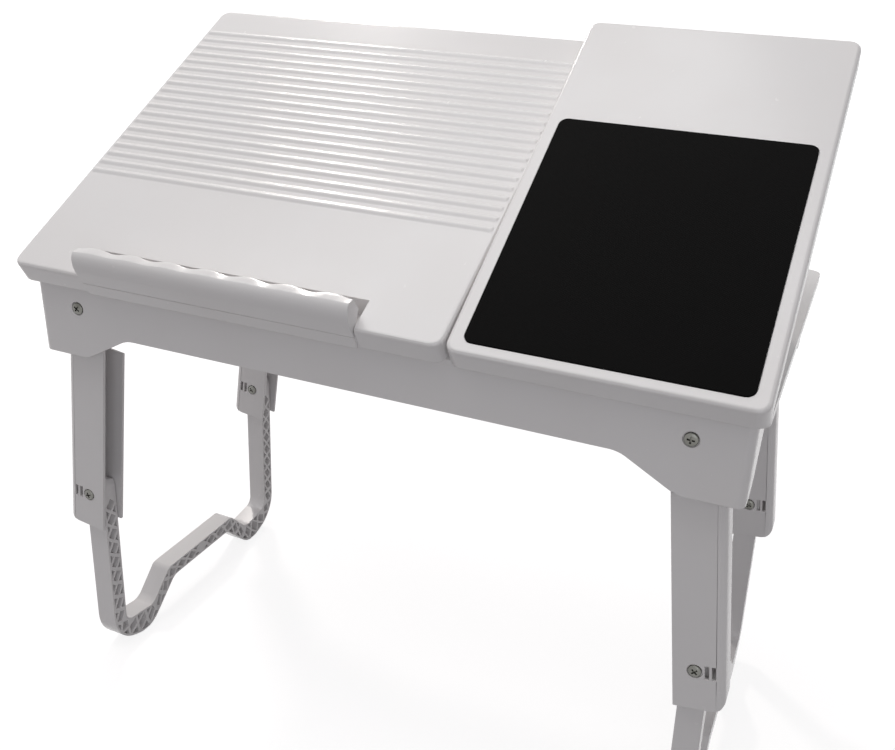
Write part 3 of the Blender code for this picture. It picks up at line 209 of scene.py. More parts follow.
# %% Handling marks
def make_handling_marks():
    """Broad smudges and thin stray scratches, each a mask from 0 to 1."""
    tree, inside, outside = new_group(
        "handling_marks", [("Smudge Size", 60 * MM), ("Scratch Size", 12 * MM)], ["Smudges", "Scratches"]
    )
    smudge_scale = combine(tree, "DIVIDE", 1.0, inside.outputs["Smudge Size"])
    smudge = add_node(tree, "ShaderNodeTexNoise", {
        "Vector": inside.outputs["Vector"], "Scale": smudge_scale, "Detail": 3.0, "Roughness": 0.45,
    })
    soft = add_node(tree, "ShaderNodeMapRange", {
        "Value": smudge.outputs["Fac"], "From Min": 0.4, "From Max": 0.8,
    })
    tree.links.new(soft.outputs["Result"], outside.inputs["Smudges"])
    scratch_scale = combine(tree, "DIVIDE", 1.0, inside.outputs["Scratch Size"])
    stretched = add_node(tree, "ShaderNodeMapping", {
        "Vector": inside.outputs["Vector"], "Rotation": (0.4, 0.9, 0.7), "Scale": (1.0, 0.06, 1.0),
    })
    scratch = add_node(tree, "ShaderNodeTexNoise", {
        "Vector": stretched.outputs["Vector"], "Scale": scratch_scale, "Detail": 8.0, "Roughness": 0.7,
    })
    thin = add_node(tree, "ShaderNodeMapRange", {
        "Value": scratch.outputs["Fac"], "From Min": 0.66, "From Max": 0.74,
    })
    tree.links.new(thin.outputs["Result"], outside.inputs["Scratches"])
    return tree


HANDLING_MARKS = make_handling_marks()


# %% Edge wear
def make_edge_wear():
    """Uneven wear on the faces that the edge rounding marked with an attribute."""
    tree, inside, outside = new_group("edge_wear", [("Patch Size", 8 * MM), ("Amount", 0.7)], ["Wear"])
    marked = add_node(tree, "ShaderNodeAttribute", attribute_name="worn_edge")
    scale = combine(tree, "DIVIDE", 1.0, inside.outputs["Patch Size"])
    patches = add_node(tree, "ShaderNodeTexNoise", {
        "Vector": inside.outputs["Vector"], "Scale": scale, "Detail": 4.0, "Roughness": 0.6,
    })
    uneven = add_node(tree, "ShaderNodeMapRange", {
        "Value": patches.outputs["Fac"], "From Min": 0.35, "From Max": 0.7,
    })
    masked = combine(tree, "MULTIPLY", marked.outputs["Fac"], uneven.outputs["Result"])
    amount = combine(tree, "MULTIPLY", masked, inside.outputs["Amount"], clamp=True)
    tree.links.new(amount, outside.inputs["Wear"])
    return tree


EDGE_WEAR = make_edge_wear()


# %% Plain weave
WEAVE_MIDDLE = 0.5
THREAD_SCALE = 900.0
CLOUD_SCALE = 45.0


def make_plain_weave():
    """Over-and-under threads on X and Y, with a little unevenness between threads."""
    tree, inside, outside = new_group("plain_weave", [("Pitch", 0.9 * MM)], ["Height", "Shade"])
    parts = add_node(tree, "ShaderNodeSeparateXYZ", {"Vector": inside.outputs["Vector"]})
    turns = combine(tree, "DIVIDE", math.pi, inside.outputs["Pitch"])
    waves = []
    for axis in ("X", "Y"):
        angle = combine(tree, "MULTIPLY", parts.outputs[axis], turns)
        waves.append(combine(tree, "SINE", angle, 0.0))
    checker = combine(tree, "MULTIPLY", *waves)
    height = add_part(tree, WEAVE_MIDDLE, checker, WEAVE_MIDDLE)
    threads = add_node(tree, "ShaderNodeTexNoise", {
        "Vector": inside.outputs["Vector"], "Scale": THREAD_SCALE, "Detail": 3.0, "Roughness": 0.7,
    })
    cloudy = add_node(tree, "ShaderNodeTexNoise", {
        "Vector": inside.outputs["Vector"], "Scale": CLOUD_SCALE, "Detail": 4.0, "Roughness": 0.6,
    })
    shade = combine(tree, "MULTIPLY", threads.outputs["Fac"], cloudy.outputs["Fac"])
    tree.links.new(height, outside.inputs["Height"])
    tree.links.new(shade, outside.inputs["Shade"])
    return tree


PLAIN_WEAVE = make_plain_weave()
print("Shader groups:", sorted(group.name for group in bpy.data.node_groups))


# %% Helpers for materials
def start_material(name):
    """A new material, its tree, its Principled BSDF and its Object coordinates."""
    made = bpy.data.materials.new(name)
    made.use_nodes = True
    tree = made.node_tree
    coordinates = add_node(tree, "ShaderNodeTexCoord")
    return made, tree, tree.nodes["Principled BSDF"], coordinates.outputs["Object"]


def place_group(tree, group, vector, **values):
    """A group node fed with coordinates, with this material's own values."""
    node = add_node(tree, "ShaderNodeGroup", node_tree=group)
    tree.links.new(vector, node.inputs["Vector"])
    for label, value in values.items():
        node.inputs[label.replace("_", " ")].default_value = value
    return node


def stack_bumps(tree, shader, layers):
    """Bump nodes one on another, each from a height, a depth in metres and a strength."""
    normal = None
    for height, depth, strength in layers:
        bump = add_node(tree, "ShaderNodeBump", {"Height": height, "Distance": depth, "Strength": strength})
        if normal:
            tree.links.new(normal, bump.inputs["Normal"])
        normal = bump.outputs["Normal"]
    tree.links.new(normal, shader.inputs["Normal"])


# %% [markdown]
# ## White moulded plastic
# The mouldings are glossy white ABS. What makes such plastic look real is small: a skin that
# is not quite flat, gloss that dulls where hands rest, hairline scratches, and edges rubbed
# a touch warmer. The colour stays near white, and the roughness carries most of the story.

# %% White plastic
CLEAN_WHITE = (0.80, 0.785, 0.785, 1)
HANDLED_WHITE = (0.785, 0.765, 0.76, 1)
RUBBED_WHITE = (0.72, 0.69, 0.67, 1)
CLEAN_ROUGHNESS = 0.2
SMUDGE_ROUGHNESS = 0.08
SCRATCH_ROUGHNESS = 0.18
WORN_ROUGHNESS = 0.12
PLASTIC_IOR = 1.52


def make_white_plastic():
    made, tree, shader, place = start_material("white_plastic")
    grain = place_group(tree, FINE_GRAIN, place, Grain_Size=0.5 * MM, Waviness_Size=30 * MM)
    marks = place_group(tree, HANDLING_MARKS, place, Smudge_Size=70 * MM, Scratch_Size=10 * MM)
    wear = place_group(tree, EDGE_WEAR, place, Patch_Size=9 * MM, Amount=0.8)
    tint = blend_colors(tree, marks.outputs["Smudges"], CLEAN_WHITE, HANDLED_WHITE)
    tint = blend_colors(tree, wear.outputs["Wear"], tint, RUBBED_WHITE)
    tree.links.new(tint, shader.inputs["Base Color"])
    rough = add_part(tree, CLEAN_ROUGHNESS, marks.outputs["Smudges"], SMUDGE_ROUGHNESS)
    rough = add_part(tree, rough, marks.outputs["Scratches"], SCRATCH_ROUGHNESS)
    rough = add_part(tree, rough, wear.outputs["Wear"], WORN_ROUGHNESS)
    tree.links.new(rough, shader.inputs["Roughness"])
    stack_bumps(tree, shader, [
        (grain.outputs["Waviness"], 0.6 * MM, 0.12),
        (grain.outputs["Grain"], 0.05 * MM, 0.25),
        (marks.outputs["Scratches"], 0.04 * MM, 0.3),
    ])
    shader.inputs["IOR"].default_value = PLASTIC_IOR
    return made


WHITE_PLASTIC = make_white_plastic()

# %% [markdown]
# ## Black woven cloth
# The mouse pad is foam with a fine woven face. Its threads are under a millimetre apart, so
# they are bump and not geometry. The weave has to lie in the pad's own plane: a Mapping node
# turns Object coordinates back by the board's tilt before the pattern is made.

# %% Black cloth
WEAVE_PITCH = 0.9 * MM
DEEP_BLACK = (0.0006, 0.0006, 0.0006, 1)
THREAD_BLACK = (0.009, 0.0085, 0.0085, 1)
CLOTH_ROUGHNESS = 0.78
THREAD_ROUGHNESS = 0.2
CLOTH_SPECULAR = 0.06


def make_black_cloth():
    made, tree, shader, place = start_material("black_cloth")
    flat = add_node(tree, "ShaderNodeMapping", {"Vector": place, "Rotation": (-TILTS["right"], 0, 0)})
    weave = place_group(tree, PLAIN_WEAVE, flat.outputs["Vector"], Pitch=WEAVE_PITCH)
    tint = blend_colors(tree, weave.outputs["Shade"], DEEP_BLACK, THREAD_BLACK)
    tree.links.new(tint, shader.inputs["Base Color"])
    rough = add_part(tree, CLOTH_ROUGHNESS, weave.outputs["Shade"], THREAD_ROUGHNESS)
    tree.links.new(rough, shader.inputs["Roughness"])
    stack_bumps(tree, shader, [(weave.outputs["Height"], 0.2 * MM, 0.6)])
    shader.inputs["Specular IOR Level"].default_value = CLOTH_SPECULAR
    return made


BLACK_CLOTH = make_black_cloth()

# %% [markdown]
# ## Steel
# Screws, nuts, pins and axles are zinc plated and have dulled: grey, a little blotchy, with a
# satin grain. The props are drawn wire, which stays brighter and has a finer grain. One
# function makes both, because only colours and grain differ.

# %% Plated steel and drawn wire
STEEL_ROUGHNESS = 0.28
GRAIN_ROUGHNESS = 0.15
SCUFF_ROUGHNESS = 0.15
RUBBED_STEEL = (0.82, 0.81, 0.79, 1)


def make_steel(name, bright, dull, grain_size):
    made, tree, shader, place = start_material(name)
    grain = place_group(tree, FINE_GRAIN, place, Grain_Size=grain_size, Waviness_Size=6 * MM)
    marks = place_group(tree, HANDLING_MARKS, place, Smudge_Size=12 * MM, Scratch_Size=6 * MM)
    wear = place_group(tree, EDGE_WEAR, place, Patch_Size=2 * MM, Amount=0.6)
    tint = blend_colors(tree, marks.outputs["Smudges"], bright, dull)
    tint = blend_colors(tree, wear.outputs["Wear"], tint, RUBBED_STEEL)
    tree.links.new(tint, shader.inputs["Base Color"])
    rough = add_part(tree, STEEL_ROUGHNESS, grain.outputs["Grain"], GRAIN_ROUGHNESS)
    rough = add_part(tree, rough, marks.outputs["Scratches"], SCUFF_ROUGHNESS)
    tree.links.new(rough, shader.inputs["Roughness"])
    shader.inputs["Metallic"].default_value = 1.0
    stack_bumps(tree, shader, [
        (grain.outputs["Waviness"], 0.1 * MM, 0.15),
        (grain.outputs["Grain"], 0.03 * MM, 0.3),
    ])
    return made


PLATED_STEEL = make_steel(
    "plated_steel", bright=(0.21, 0.21, 0.195, 1), dull=(0.12, 0.118, 0.105, 1), grain_size=0.4 * MM
)
DRAWN_WIRE = make_steel(
    "drawn_wire", bright=(0.42, 0.415, 0.40, 1), dull=(0.30, 0.295, 0.28, 1), grain_size=0.3 * MM
)
print("Materials:", sorted(made.name for made in (WHITE_PLASTIC, BLACK_CLOTH, PLATED_STEEL, DRAWN_WIRE)))


# %% [markdown]
# ## Soft edges for the mouldings
# An injection-moulded part has no knife edges. The CAD solids have them, and a sharp edge
# never catches light. So each moulding is copied, its loose triangles are merged, and every
# outward edge gets a small bevel. Dissolving the flat faces first looks tidier, but an arch
# cut into one big face is easily filled in by mistake, so the triangles stay. The bevel's own
# faces are marked with an attribute, which the wear in the materials reads. Long thin
# triangles shade badly, because each counts for little beside its neighbours. So the normals
# are worked out here, and a triangle counts with the area of the whole flat face it lies in.

# %% Moulding helpers
EDGE_SOFTNESS = 0.4 * MM
SHARP_EDGE = math.radians(30)
SMOOTH_LIMIT = math.radians(38)
FLAT_LIMIT = math.radians(0.5)
SHORTEST_EDGE = 1.0 * MM
MERGE = 0.002 * MM


def merged_copy(node):
    """A node's mesh as a closed bmesh, its loose triangles merged."""
    bm = bmesh.new()
    bm.from_mesh(NODES[node].data)
    bmesh.ops.remove_doubles(bm, verts=bm.verts, dist=MERGE)
    return bm


def soften(bm):
    """Bevels the outward edges and marks the new faces as worn edges."""
    worn = bm.faces.layers.float.new("worn_edge")
    sharp = [
        edge for edge in bm.edges
        if edge.is_manifold and edge.is_convex and edge.calc_face_angle() > SHARP_EDGE
        and edge.calc_length() > SHORTEST_EDGE
    ]
    made = bmesh.ops.bevel(
        bm, geom=sharp, offset=EDGE_SOFTNESS, offset_type="OFFSET", segments=2, profile=0.5,
        affect="EDGES", clamp_overlap=False, material=-1,
    )
    for face in made["faces"]:
        face[worn] = 1.0
    return len(sharp)


def flat_regions(bm):
    """For each face, the area of the flat region that it is a part of."""
    bm.faces.index_update()
    parent = list(range(len(bm.faces)))

    def root(index):
        while parent[index] != index:
            parent[index] = parent[parent[index]]
            index = parent[index]
        return index

    for edge in bm.edges:
        if edge.is_manifold and edge.calc_face_angle() < FLAT_LIMIT:
            first, second = (root(face.index) for face in edge.link_faces)
            parent[first] = second
    areas = [0.0] * len(bm.faces)
    for face in bm.faces:
        areas[root(face.index)] += face.calc_area()
    return [areas[root(face.index)] for face in bm.faces]


def shading_normals(bm):
    """One normal for each face corner, in the order that the finished mesh has them."""
    bm.normal_update()
    areas = flat_regions(bm)
    closest = math.cos(SMOOTH_LIMIT)
    normals = []
    for face in bm.faces:
        for corner in face.loops:
            total = Vector()
            for other in corner.vert.link_faces:
                if other.normal.dot(face.normal) > closest:
                    total += other.normal * areas[other.index]
            normals.append(total.normalized())
    return normals


def finished_piece(name, bm, material, body, slot_name, *replaced):
    """Turns a bmesh into a piece that rides on its body and stands for its CAD nodes."""
    normals = shading_normals(bm)
    mesh = bpy.data.meshes.new(name)
    bm.to_mesh(mesh)
    bm.free()
    mesh.materials.clear()
    mesh.materials.append(material)
    mesh.shade_smooth()
    mesh.set_sharp_from_angle(angle=SMOOTH_LIMIT)
    mesh.normals_split_custom_set(normals)
    piece = bpy.data.objects.new(name, mesh)
    bpy.context.scene.collection.objects.link(piece)
    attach(piece, body)
    if replaced:
        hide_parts(*replaced)
    return piece


# %% Nine of the ten white mouldings
MOULDINGS = ["base_tray", "left_board", "right_board", "left_lower_leg", "right_lower_leg"] + [
    f"{side}_{end}_upright" for side in ("left", "right") for end in ("front", "rear")
]

for node in MOULDINGS:
    bm = merged_copy(node)
    count = soften(bm)
    piece = finished_piece(node + "_moulding", bm, WHITE_PLASTIC, BODY_OF[node], "white_plastic", node)
    print(piece.name, "has", count, "softened edges and", len(piece.data.polygons), "faces")

# %% [markdown]
# ## Ridges
# The left board's ridges are low and round, and run out softly into the board at both ends.
# The CAD beads have steep flanks and square ends. Here a fine grid is laid over each bead and
# given a root inside the board. Its upper side is then raised with a cosine across, and eased
# down at both ends, which makes a bell that covers the bead and has no edge at all.

# %% Model the ridges
RIDGE_PITCH = 9.95 * MM
RIDGE_HEIGHT = 1.13 * MM
CAD_RIDGE_HEIGHT = 1.1 * MM
RIDGE_WIDTH = 7.6 * MM
RIDGE_SINK = 0.06 * MM
RIDGE_ROOT = 0.5 * MM
RIDGE_RUN_OUT = 2.2 * MM
RIDGE_STATIONS = 60
RIDGE_STEPS_ACROSS = 14
CREST_BAND = 0.05 * MM


def crest_ends(place):
    """Lowest and highest corner of the line where the CAD beads' crests end, board lying flat."""
    points = laid_flat("left_board", place)
    crest = max(point.z for point in points)
    return extent([point for point in points if point.z > crest - CREST_BAND])


def add_ridge(bm, low_x, high_x, middle_y, flat):
    """One bell-shaped bead along X, with more stations near its ends."""
    made = bmesh.ops.create_grid(
        bm, x_segments=RIDGE_STATIONS, y_segments=RIDGE_STEPS_ACROSS, size=0.5
    )
    for vertex in made["verts"]:
        eased = math.sin(math.pi * vertex.co.x)
        vertex.co.x = (low_x + high_x) / 2 + (high_x - low_x) / 2 * eased
        vertex.co.y = middle_y + RIDGE_WIDTH * vertex.co.y
        vertex.co.z = flat - RIDGE_ROOT
    faces = list({face for vertex in made["verts"] for face in vertex.link_faces})
    grown = bmesh.ops.extrude_face_region(bm, geom=faces)["geom"]
    for vertex in [item for item in grown if isinstance(item, bmesh.types.BMVert)]:
        across = math.cos(math.pi * (vertex.co.y - middle_y) / RIDGE_WIDTH) ** 2
        reach = min(vertex.co.x - low_x, high_x - vertex.co.x)
        along = math.sin(math.pi / 2 * min(reach / RIDGE_RUN_OUT, 1.0))
        vertex.co.z = flat - RIDGE_SINK + (RIDGE_HEIGHT + RIDGE_SINK) * across * along


def make_ridges():
    place = board_place("left")
    low, high = crest_ends(place)
    count = round((high.y - low.y) / RIDGE_PITCH) + 1
    bm = bmesh.new()
    for index in range(count):
        middle_y = low.y + (high.y - low.y) * index / (count - 1)
        add_ridge(
            bm, low.x - RIDGE_RUN_OUT, high.x + RIDGE_RUN_OUT, middle_y, high.z - CAD_RIDGE_HEIGHT
        )
    bmesh.ops.recalc_face_normals(bm, faces=bm.faces)
    bmesh.ops.transform(bm, matrix=place, verts=bm.verts)
    ridges = finished_piece("left_board_ridges", bm, WHITE_PLASTIC, "left_board", "white_plastic")
    length = round((high.x - low.x) / MM)
    print("Ridges:", count, "beads,", length, "mm long,", len(ridges.data.polygons), "faces")


make_ridges()

# %% [markdown]
# ## The laptop stop
# The raised stop along the left board's front edge is a thin roll with a round front and a
# rear edge scalloped into seven finger lobes. It could be carved with booleans, as the CAD
# solid is. Here its rounded section is extruded once, cut into many slices, and the slices
# are drawn forward between the lobes with a cosine, which leaves one smooth skin.

# %% Stop section
STOP_LOBES = 7
SLICES_PER_LOBE = 14
LOBE_DEPTH = 1.6 * MM
LOBE_DIP = 0.6 * MM
LOBE_SHARPNESS = 1.5
STOP_HEM = 0.2 * MM
STOP_END_RADIUS = 0.5 * MM
SAME_PLACE = 0.01 * MM
STOP_PLACE = board_place("left")
STOP_LOW, STOP_HIGH = flat_box("laptop_stop", STOP_PLACE)
ROLL_STEPS = 12
ROLL_START_SHARE = 0.4
ROLL_DEPTH_SHARE = 0.58
NOSE_RADIUS = 1.2 * MM
WAIST_BACK = 6 * MM
HINGE_BACK = 3 * MM
FOOT_RADIUS = 3 * MM


def arc(middle, radii, start, end, steps):
    """Points of a round or oval stretch between two angles in degrees."""
    points = []
    for step in range(steps + 1):
        angle = math.radians(start + (end - start) * step / steps)
        points.append((middle[0] + radii[0] * math.cos(angle), middle[1] + radii[1] * math.sin(angle)))
    return points


def stop_section():
    """The stop's section as distance behind its front and height above its foot.

    An oval roll in front, a small nose at the rear, and a foot that is round about the hinge.
    """
    depth = STOP_HIGH.y - STOP_LOW.y
    height = STOP_HIGH.z - STOP_LOW.z
    roll_start = ROLL_START_SHARE * height
    roll_depth = ROLL_DEPTH_SHARE * depth
    nose = (NOSE_RADIUS, NOSE_RADIUS)
    nose_back = depth - NOSE_RADIUS
    section = [(0.0, STOP_HEM)]
    section += arc((roll_depth, roll_start), (roll_depth, height - roll_start), 180, 90, ROLL_STEPS)
    section += arc((nose_back, height - 2 * NOSE_RADIUS), nose, 90, 0, 4)
    section += arc((nose_back, 0.5 * height), nose, 0, -60, 3)
    section.append((WAIST_BACK, HINGE_BACK + FOOT_RADIUS / 2))
    section += arc((HINGE_BACK, HINGE_BACK), (FOOT_RADIUS, FOOT_RADIUS), 0, -90, 5)
    section.append((STOP_HEM, 0.0))
    return section


# %% Model the stop
def make_stop():
    bm = bmesh.new()
    start = [
        bm.verts.new((STOP_LOW.x, STOP_LOW.y + back, STOP_LOW.z + height)) for back, height in stop_section()
    ]
    face = bm.faces.new(start)
    grown = bmesh.ops.extrude_face_region(bm, geom=[face])
    moved = [item for item in grown["geom"] if isinstance(item, bmesh.types.BMVert)]
    bmesh.ops.translate(bm, vec=(STOP_HIGH.x - STOP_LOW.x, 0, 0), verts=moved)
    long_edges = [edge for edge in bm.edges if abs(edge.verts[0].co.x - edge.verts[1].co.x) > MM]
    bmesh.ops.subdivide_edges(
        bm, edges=long_edges, cuts=STOP_LOBES * SLICES_PER_LOBE - 1, use_grid_fill=True
    )
    bmesh.ops.recalc_face_normals(bm, faces=bm.faces)
    press_lobes(bm)
    ends = [
        edge for edge in bm.edges
        if edge.calc_face_angle(0.0) > SHARP_EDGE * 2
        and min(abs(edge.verts[0].co.x - x) for x in (STOP_LOW.x, STOP_HIGH.x)) < SAME_PLACE
        and abs(edge.verts[0].co.x - edge.verts[1].co.x) < SAME_PLACE
    ]
    bmesh.ops.bevel(
        bm, geom=ends, offset=STOP_END_RADIUS, segments=3, profile=0.5, affect="EDGES",
        clamp_overlap=True, material=-1,
    )
    bmesh.ops.transform(bm, matrix=STOP_PLACE, verts=bm.verts)
    return bm


def growing(share, rate, lag):
    """A share of the depth or height, made a smaller one that starts late and ends at 1."""
    return min(max(share * rate - lag, 0.0), 1.0)


def press_lobes(bm):
    """Draws the upper rear edge forward, and a little down, between the lobes."""
    length = STOP_HIGH.x - STOP_LOW.x
    depth = STOP_HIGH.y - STOP_LOW.y
    height = STOP_HIGH.z - STOP_LOW.z
    for vertex in bm.verts:
        turn = (vertex.co.x - STOP_LOW.x) / length * STOP_LOBES
        valley = (0.5 + 0.5 * math.cos(2 * math.pi * turn)) ** LOBE_SHARPNESS
        behind = growing((vertex.co.y - STOP_LOW.y) / depth, rate=1.9, lag=0.7)
        above = growing((vertex.co.z - STOP_LOW.z) / height, rate=2.4, lag=1.3)
        vertex.co.y -= LOBE_DEPTH * valley * behind * above
        vertex.co.z -= LOBE_DIP * valley * behind * above


stop = finished_piece(
    "laptop_stop_roll", make_stop(), WHITE_PLASTIC, "laptop_stop", "white_plastic", "laptop_stop"
)
print("Laptop stop:", len(stop.data.polygons), "faces,", STOP_LOBES, "lobes")

# %% [markdown]
# ## The mouse pad
# The pad is a die-cut sheet of cloth on foam, let into the right board. It starts as a block
# the size of its CAD solid. Its four upright edges are rounded to a wide radius, then the top
# edge is rounded a little, as a pressed edge is.

# %% Model the pad
PAD_CORNER = 6 * MM
PAD_EDGE = 0.45 * MM


def rounded_slab(low, high, corner, edge_radius):
    bm = bmesh.new()
    bmesh.ops.create_cube(bm, size=1.0)
    bmesh.ops.scale(bm, vec=high - low, verts=bm.verts)
    bmesh.ops.translate(bm, vec=(low + high) / 2, verts=bm.verts)
    upright = [edge for edge in bm.edges if abs(edge.verts[0].co.z - edge.verts[1].co.z) > MERGE]
    bmesh.ops.bevel(
        bm, geom=upright, offset=corner, segments=10, profile=0.5, affect="EDGES", material=-1
    )
    rim = [edge for edge in bm.edges if min(v.co.z for v in edge.verts) > high.z - MERGE]
    bmesh.ops.bevel(
        bm, geom=rim, offset=edge_radius, segments=3, profile=0.5, affect="EDGES", material=-1
    )
    return bm


pad_place = board_place("right")
pad_bm = rounded_slab(*flat_box("mouse_pad", pad_place), PAD_CORNER, PAD_EDGE)
bmesh.ops.transform(pad_bm, matrix=pad_place, verts=pad_bm.verts)
pad = finished_piece("mouse_pad_cloth", pad_bm, BLACK_CLOTH, "right_board", "black_pad", "mouse_pad")
print("Mouse pad:", len(pad.data.polygons), "faces")

# %% [markdown]
# ## Screws and nuts
# Eight pan-head screws with a cross recess hold the axles and the knees. A head is a half
# profile turned once round, and the two arms of its cross are cut by booleans. Each screw is
# drawn along Y at the origin, then moved to the place of its CAD screw. Each is turned by its
# own amount, because nobody lines up screw slots.

# %% Screw and nut shapes
HEAD_RADIUS = 4.5 * MM
HEAD_HEIGHT = 2 * MM
SHANK_RADIUS = 1.6 * MM
RECESS_LENGTH = 5.8 * MM
RECESS_WIDTH = 1.4 * MM
RECESS_DEPTH = 1.5 * MM
RECESS_TAPER = 0.7
# Points of the domed head, as a share of its radius and a depth below its top
HEAD_DOME = ((0.55, 0.12 * MM), (0.85, 0.5 * MM), (0.98, 1.1 * MM))
HEAD_RIM = 0.2 * MM
TIP_LENGTH = 0.6 * MM
TIP_SHARE = 0.7
TURN_STEPS = 40
NUT_CHAMFER = 0.35 * MM
NUT_PLAY = 0.3 * MM


def carve(bm, cutter):
    """Cuts one closed shape out of another and returns the result as a new bmesh."""
    objects = []
    for name, shape in (("shape", bm), ("cutter", cutter)):
        mesh = bpy.data.meshes.new(name)
        shape.to_mesh(mesh)
        shape.free()
        made = bpy.data.objects.new(name, mesh)
        bpy.context.scene.collection.objects.link(made)
        objects.append(made)
    shape, tool = objects
    modifier = shape.modifiers.new("boolean", "BOOLEAN")
    modifier.operation = "DIFFERENCE"
    modifier.solver = "EXACT"
    modifier.object = tool
    result = bmesh.new()
    graph = bpy.context.evaluated_depsgraph_get()
    result.from_object(shape, graph)
    for made in objects:
        bpy.data.objects.remove(made)
    return result


def turned(profile):
    """A closed shape from a half profile of (radius, place along Y), turned about Y."""
    bm = bmesh.new()
    verts = [bm.verts.new((radius, along, 0)) for radius, along in profile]
    edges = [bm.edges.new(pair) for pair in zip(verts, verts[1:])]
    bmesh.ops.spin(
        bm, geom=verts + edges, cent=(0, 0, 0), axis=(0, 1, 0), angle=2 * math.pi,
        steps=TURN_STEPS, use_merge=True,
    )
    bmesh.ops.remove_doubles(bm, verts=bm.verts, dist=MERGE)
    bmesh.ops.recalc_face_normals(bm, faces=bm.faces)
    return bm


def screw_shape(length):
    """A pan-head screw whose head top is at Y = 0 and whose shank runs to +Y."""
    profile = [(0.0, 0.0)]
    profile += [(share * HEAD_RADIUS, depth) for share, depth in HEAD_DOME]
    profile += [
        (HEAD_RADIUS, HEAD_HEIGHT - HEAD_RIM),
        (HEAD_RADIUS - HEAD_RIM, HEAD_HEIGHT),
        (SHANK_RADIUS, HEAD_HEIGHT),
        (SHANK_RADIUS, length - TIP_LENGTH),
        (SHANK_RADIUS * TIP_SHARE, length),
        (0.0, length),
    ]
    bm = turned(profile)
    for size in ((RECESS_LENGTH, RECESS_WIDTH), (RECESS_WIDTH, RECESS_LENGTH)):
        arm = bmesh.new()
        bmesh.ops.create_cube(arm, size=1.0)
        bmesh.ops.scale(arm, vec=(size[0], 2 * RECESS_DEPTH, size[1]), verts=arm.verts)
        deep = [vertex for vertex in arm.verts if vertex.co.y > 0]
        bmesh.ops.scale(arm, vec=(RECESS_TAPER, 1, RECESS_TAPER), verts=deep)
        bm = carve(bm, arm)
    return bm


def nut_shape(radius, height, bore):
    """A hexagon nut with chamfered corners, centred on the origin with its axis along Y."""
    turn = Matrix.Rotation(math.radians(90), 4, "X")
    bm = bmesh.new()
    bmesh.ops.create_cone(
        bm, cap_ends=True, segments=6, radius1=radius, radius2=radius, depth=height, matrix=turn
    )
    bmesh.ops.bevel(
        bm, geom=bm.verts[:], offset=NUT_CHAMFER, segments=1, profile=0.5, affect="VERTICES",
        material=-1,
    )
    hole = bmesh.new()
    bmesh.ops.create_cone(
        hole, cap_ends=True, segments=24, radius1=bore, radius2=bore, depth=2 * height, matrix=turn
    )
    return carve(bm, hole)


# %% Place the screws
SCREW_TURN = math.radians(37)


def place_screws():
    names = [f"{side}_{end}_{kind}_screw" for side in ("left", "right") for end in ("front", "rear")
             for kind in ("axle", "knee")]
    for index, node in enumerate(names):
        low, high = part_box(node)
        faces_back = "rear_axle" in node
        bm = screw_shape(high.y - low.y)
        turn = Matrix.Rotation(SCREW_TURN * (index + 1), 4, "Y")
        if faces_back:
            turn = Matrix.Rotation(math.pi, 4, "Z") @ turn
        head_y = high.y if faces_back else low.y
        middle = Vector(((low.x + high.x) / 2, head_y, (low.z + high.z) / 2))
        bmesh.ops.transform(bm, matrix=Matrix.Translation(middle) @ turn, verts=bm.verts)
        finished_piece(node + "_turned", bm, PLATED_STEEL, BODY_OF[node], "bright_steel", node)
    print("Screws placed:", len(names))


place_screws()


# %% Place the nuts
def place_nuts():
    names = [f"{side}_{end}_knee_nut" for side in ("left", "right") for end in ("front", "rear")]
    for node in names:
        low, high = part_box(node)
        radius = max(high.x - low.x, high.z - low.z) / 2
        bm = nut_shape(radius, high.y - low.y, SHANK_RADIUS + NUT_PLAY)
        bmesh.ops.transform(bm, matrix=Matrix.Translation((low + high) / 2), verts=bm.verts)
        finished_piece(node + "_hexagon", bm, PLATED_STEEL, BODY_OF[node], "bright_steel", node)
    print("Nuts placed:", len(names))


place_nuts()

# %% [markdown]
# ## Wire props
# Each board rests on one bent wire. A curve with a bevel would do, but a wire is also a good
# exercise for two operators: a straight run is an extruded ring, and a bend is the same ring
# spun about the bend's centre. The wire is drawn flat, foot bar at the back, and the matrix
# of its joint then puts it in place.

# %% Bend the wire
WIRE_RADIUS = 2 * MM
WIRE_SIDES = 20
FOOT_BEND = 9 * MM
CLIP_BEND = 4.5 * MM
CLIP_END = 19 * MM
BEND_STEPS = 8


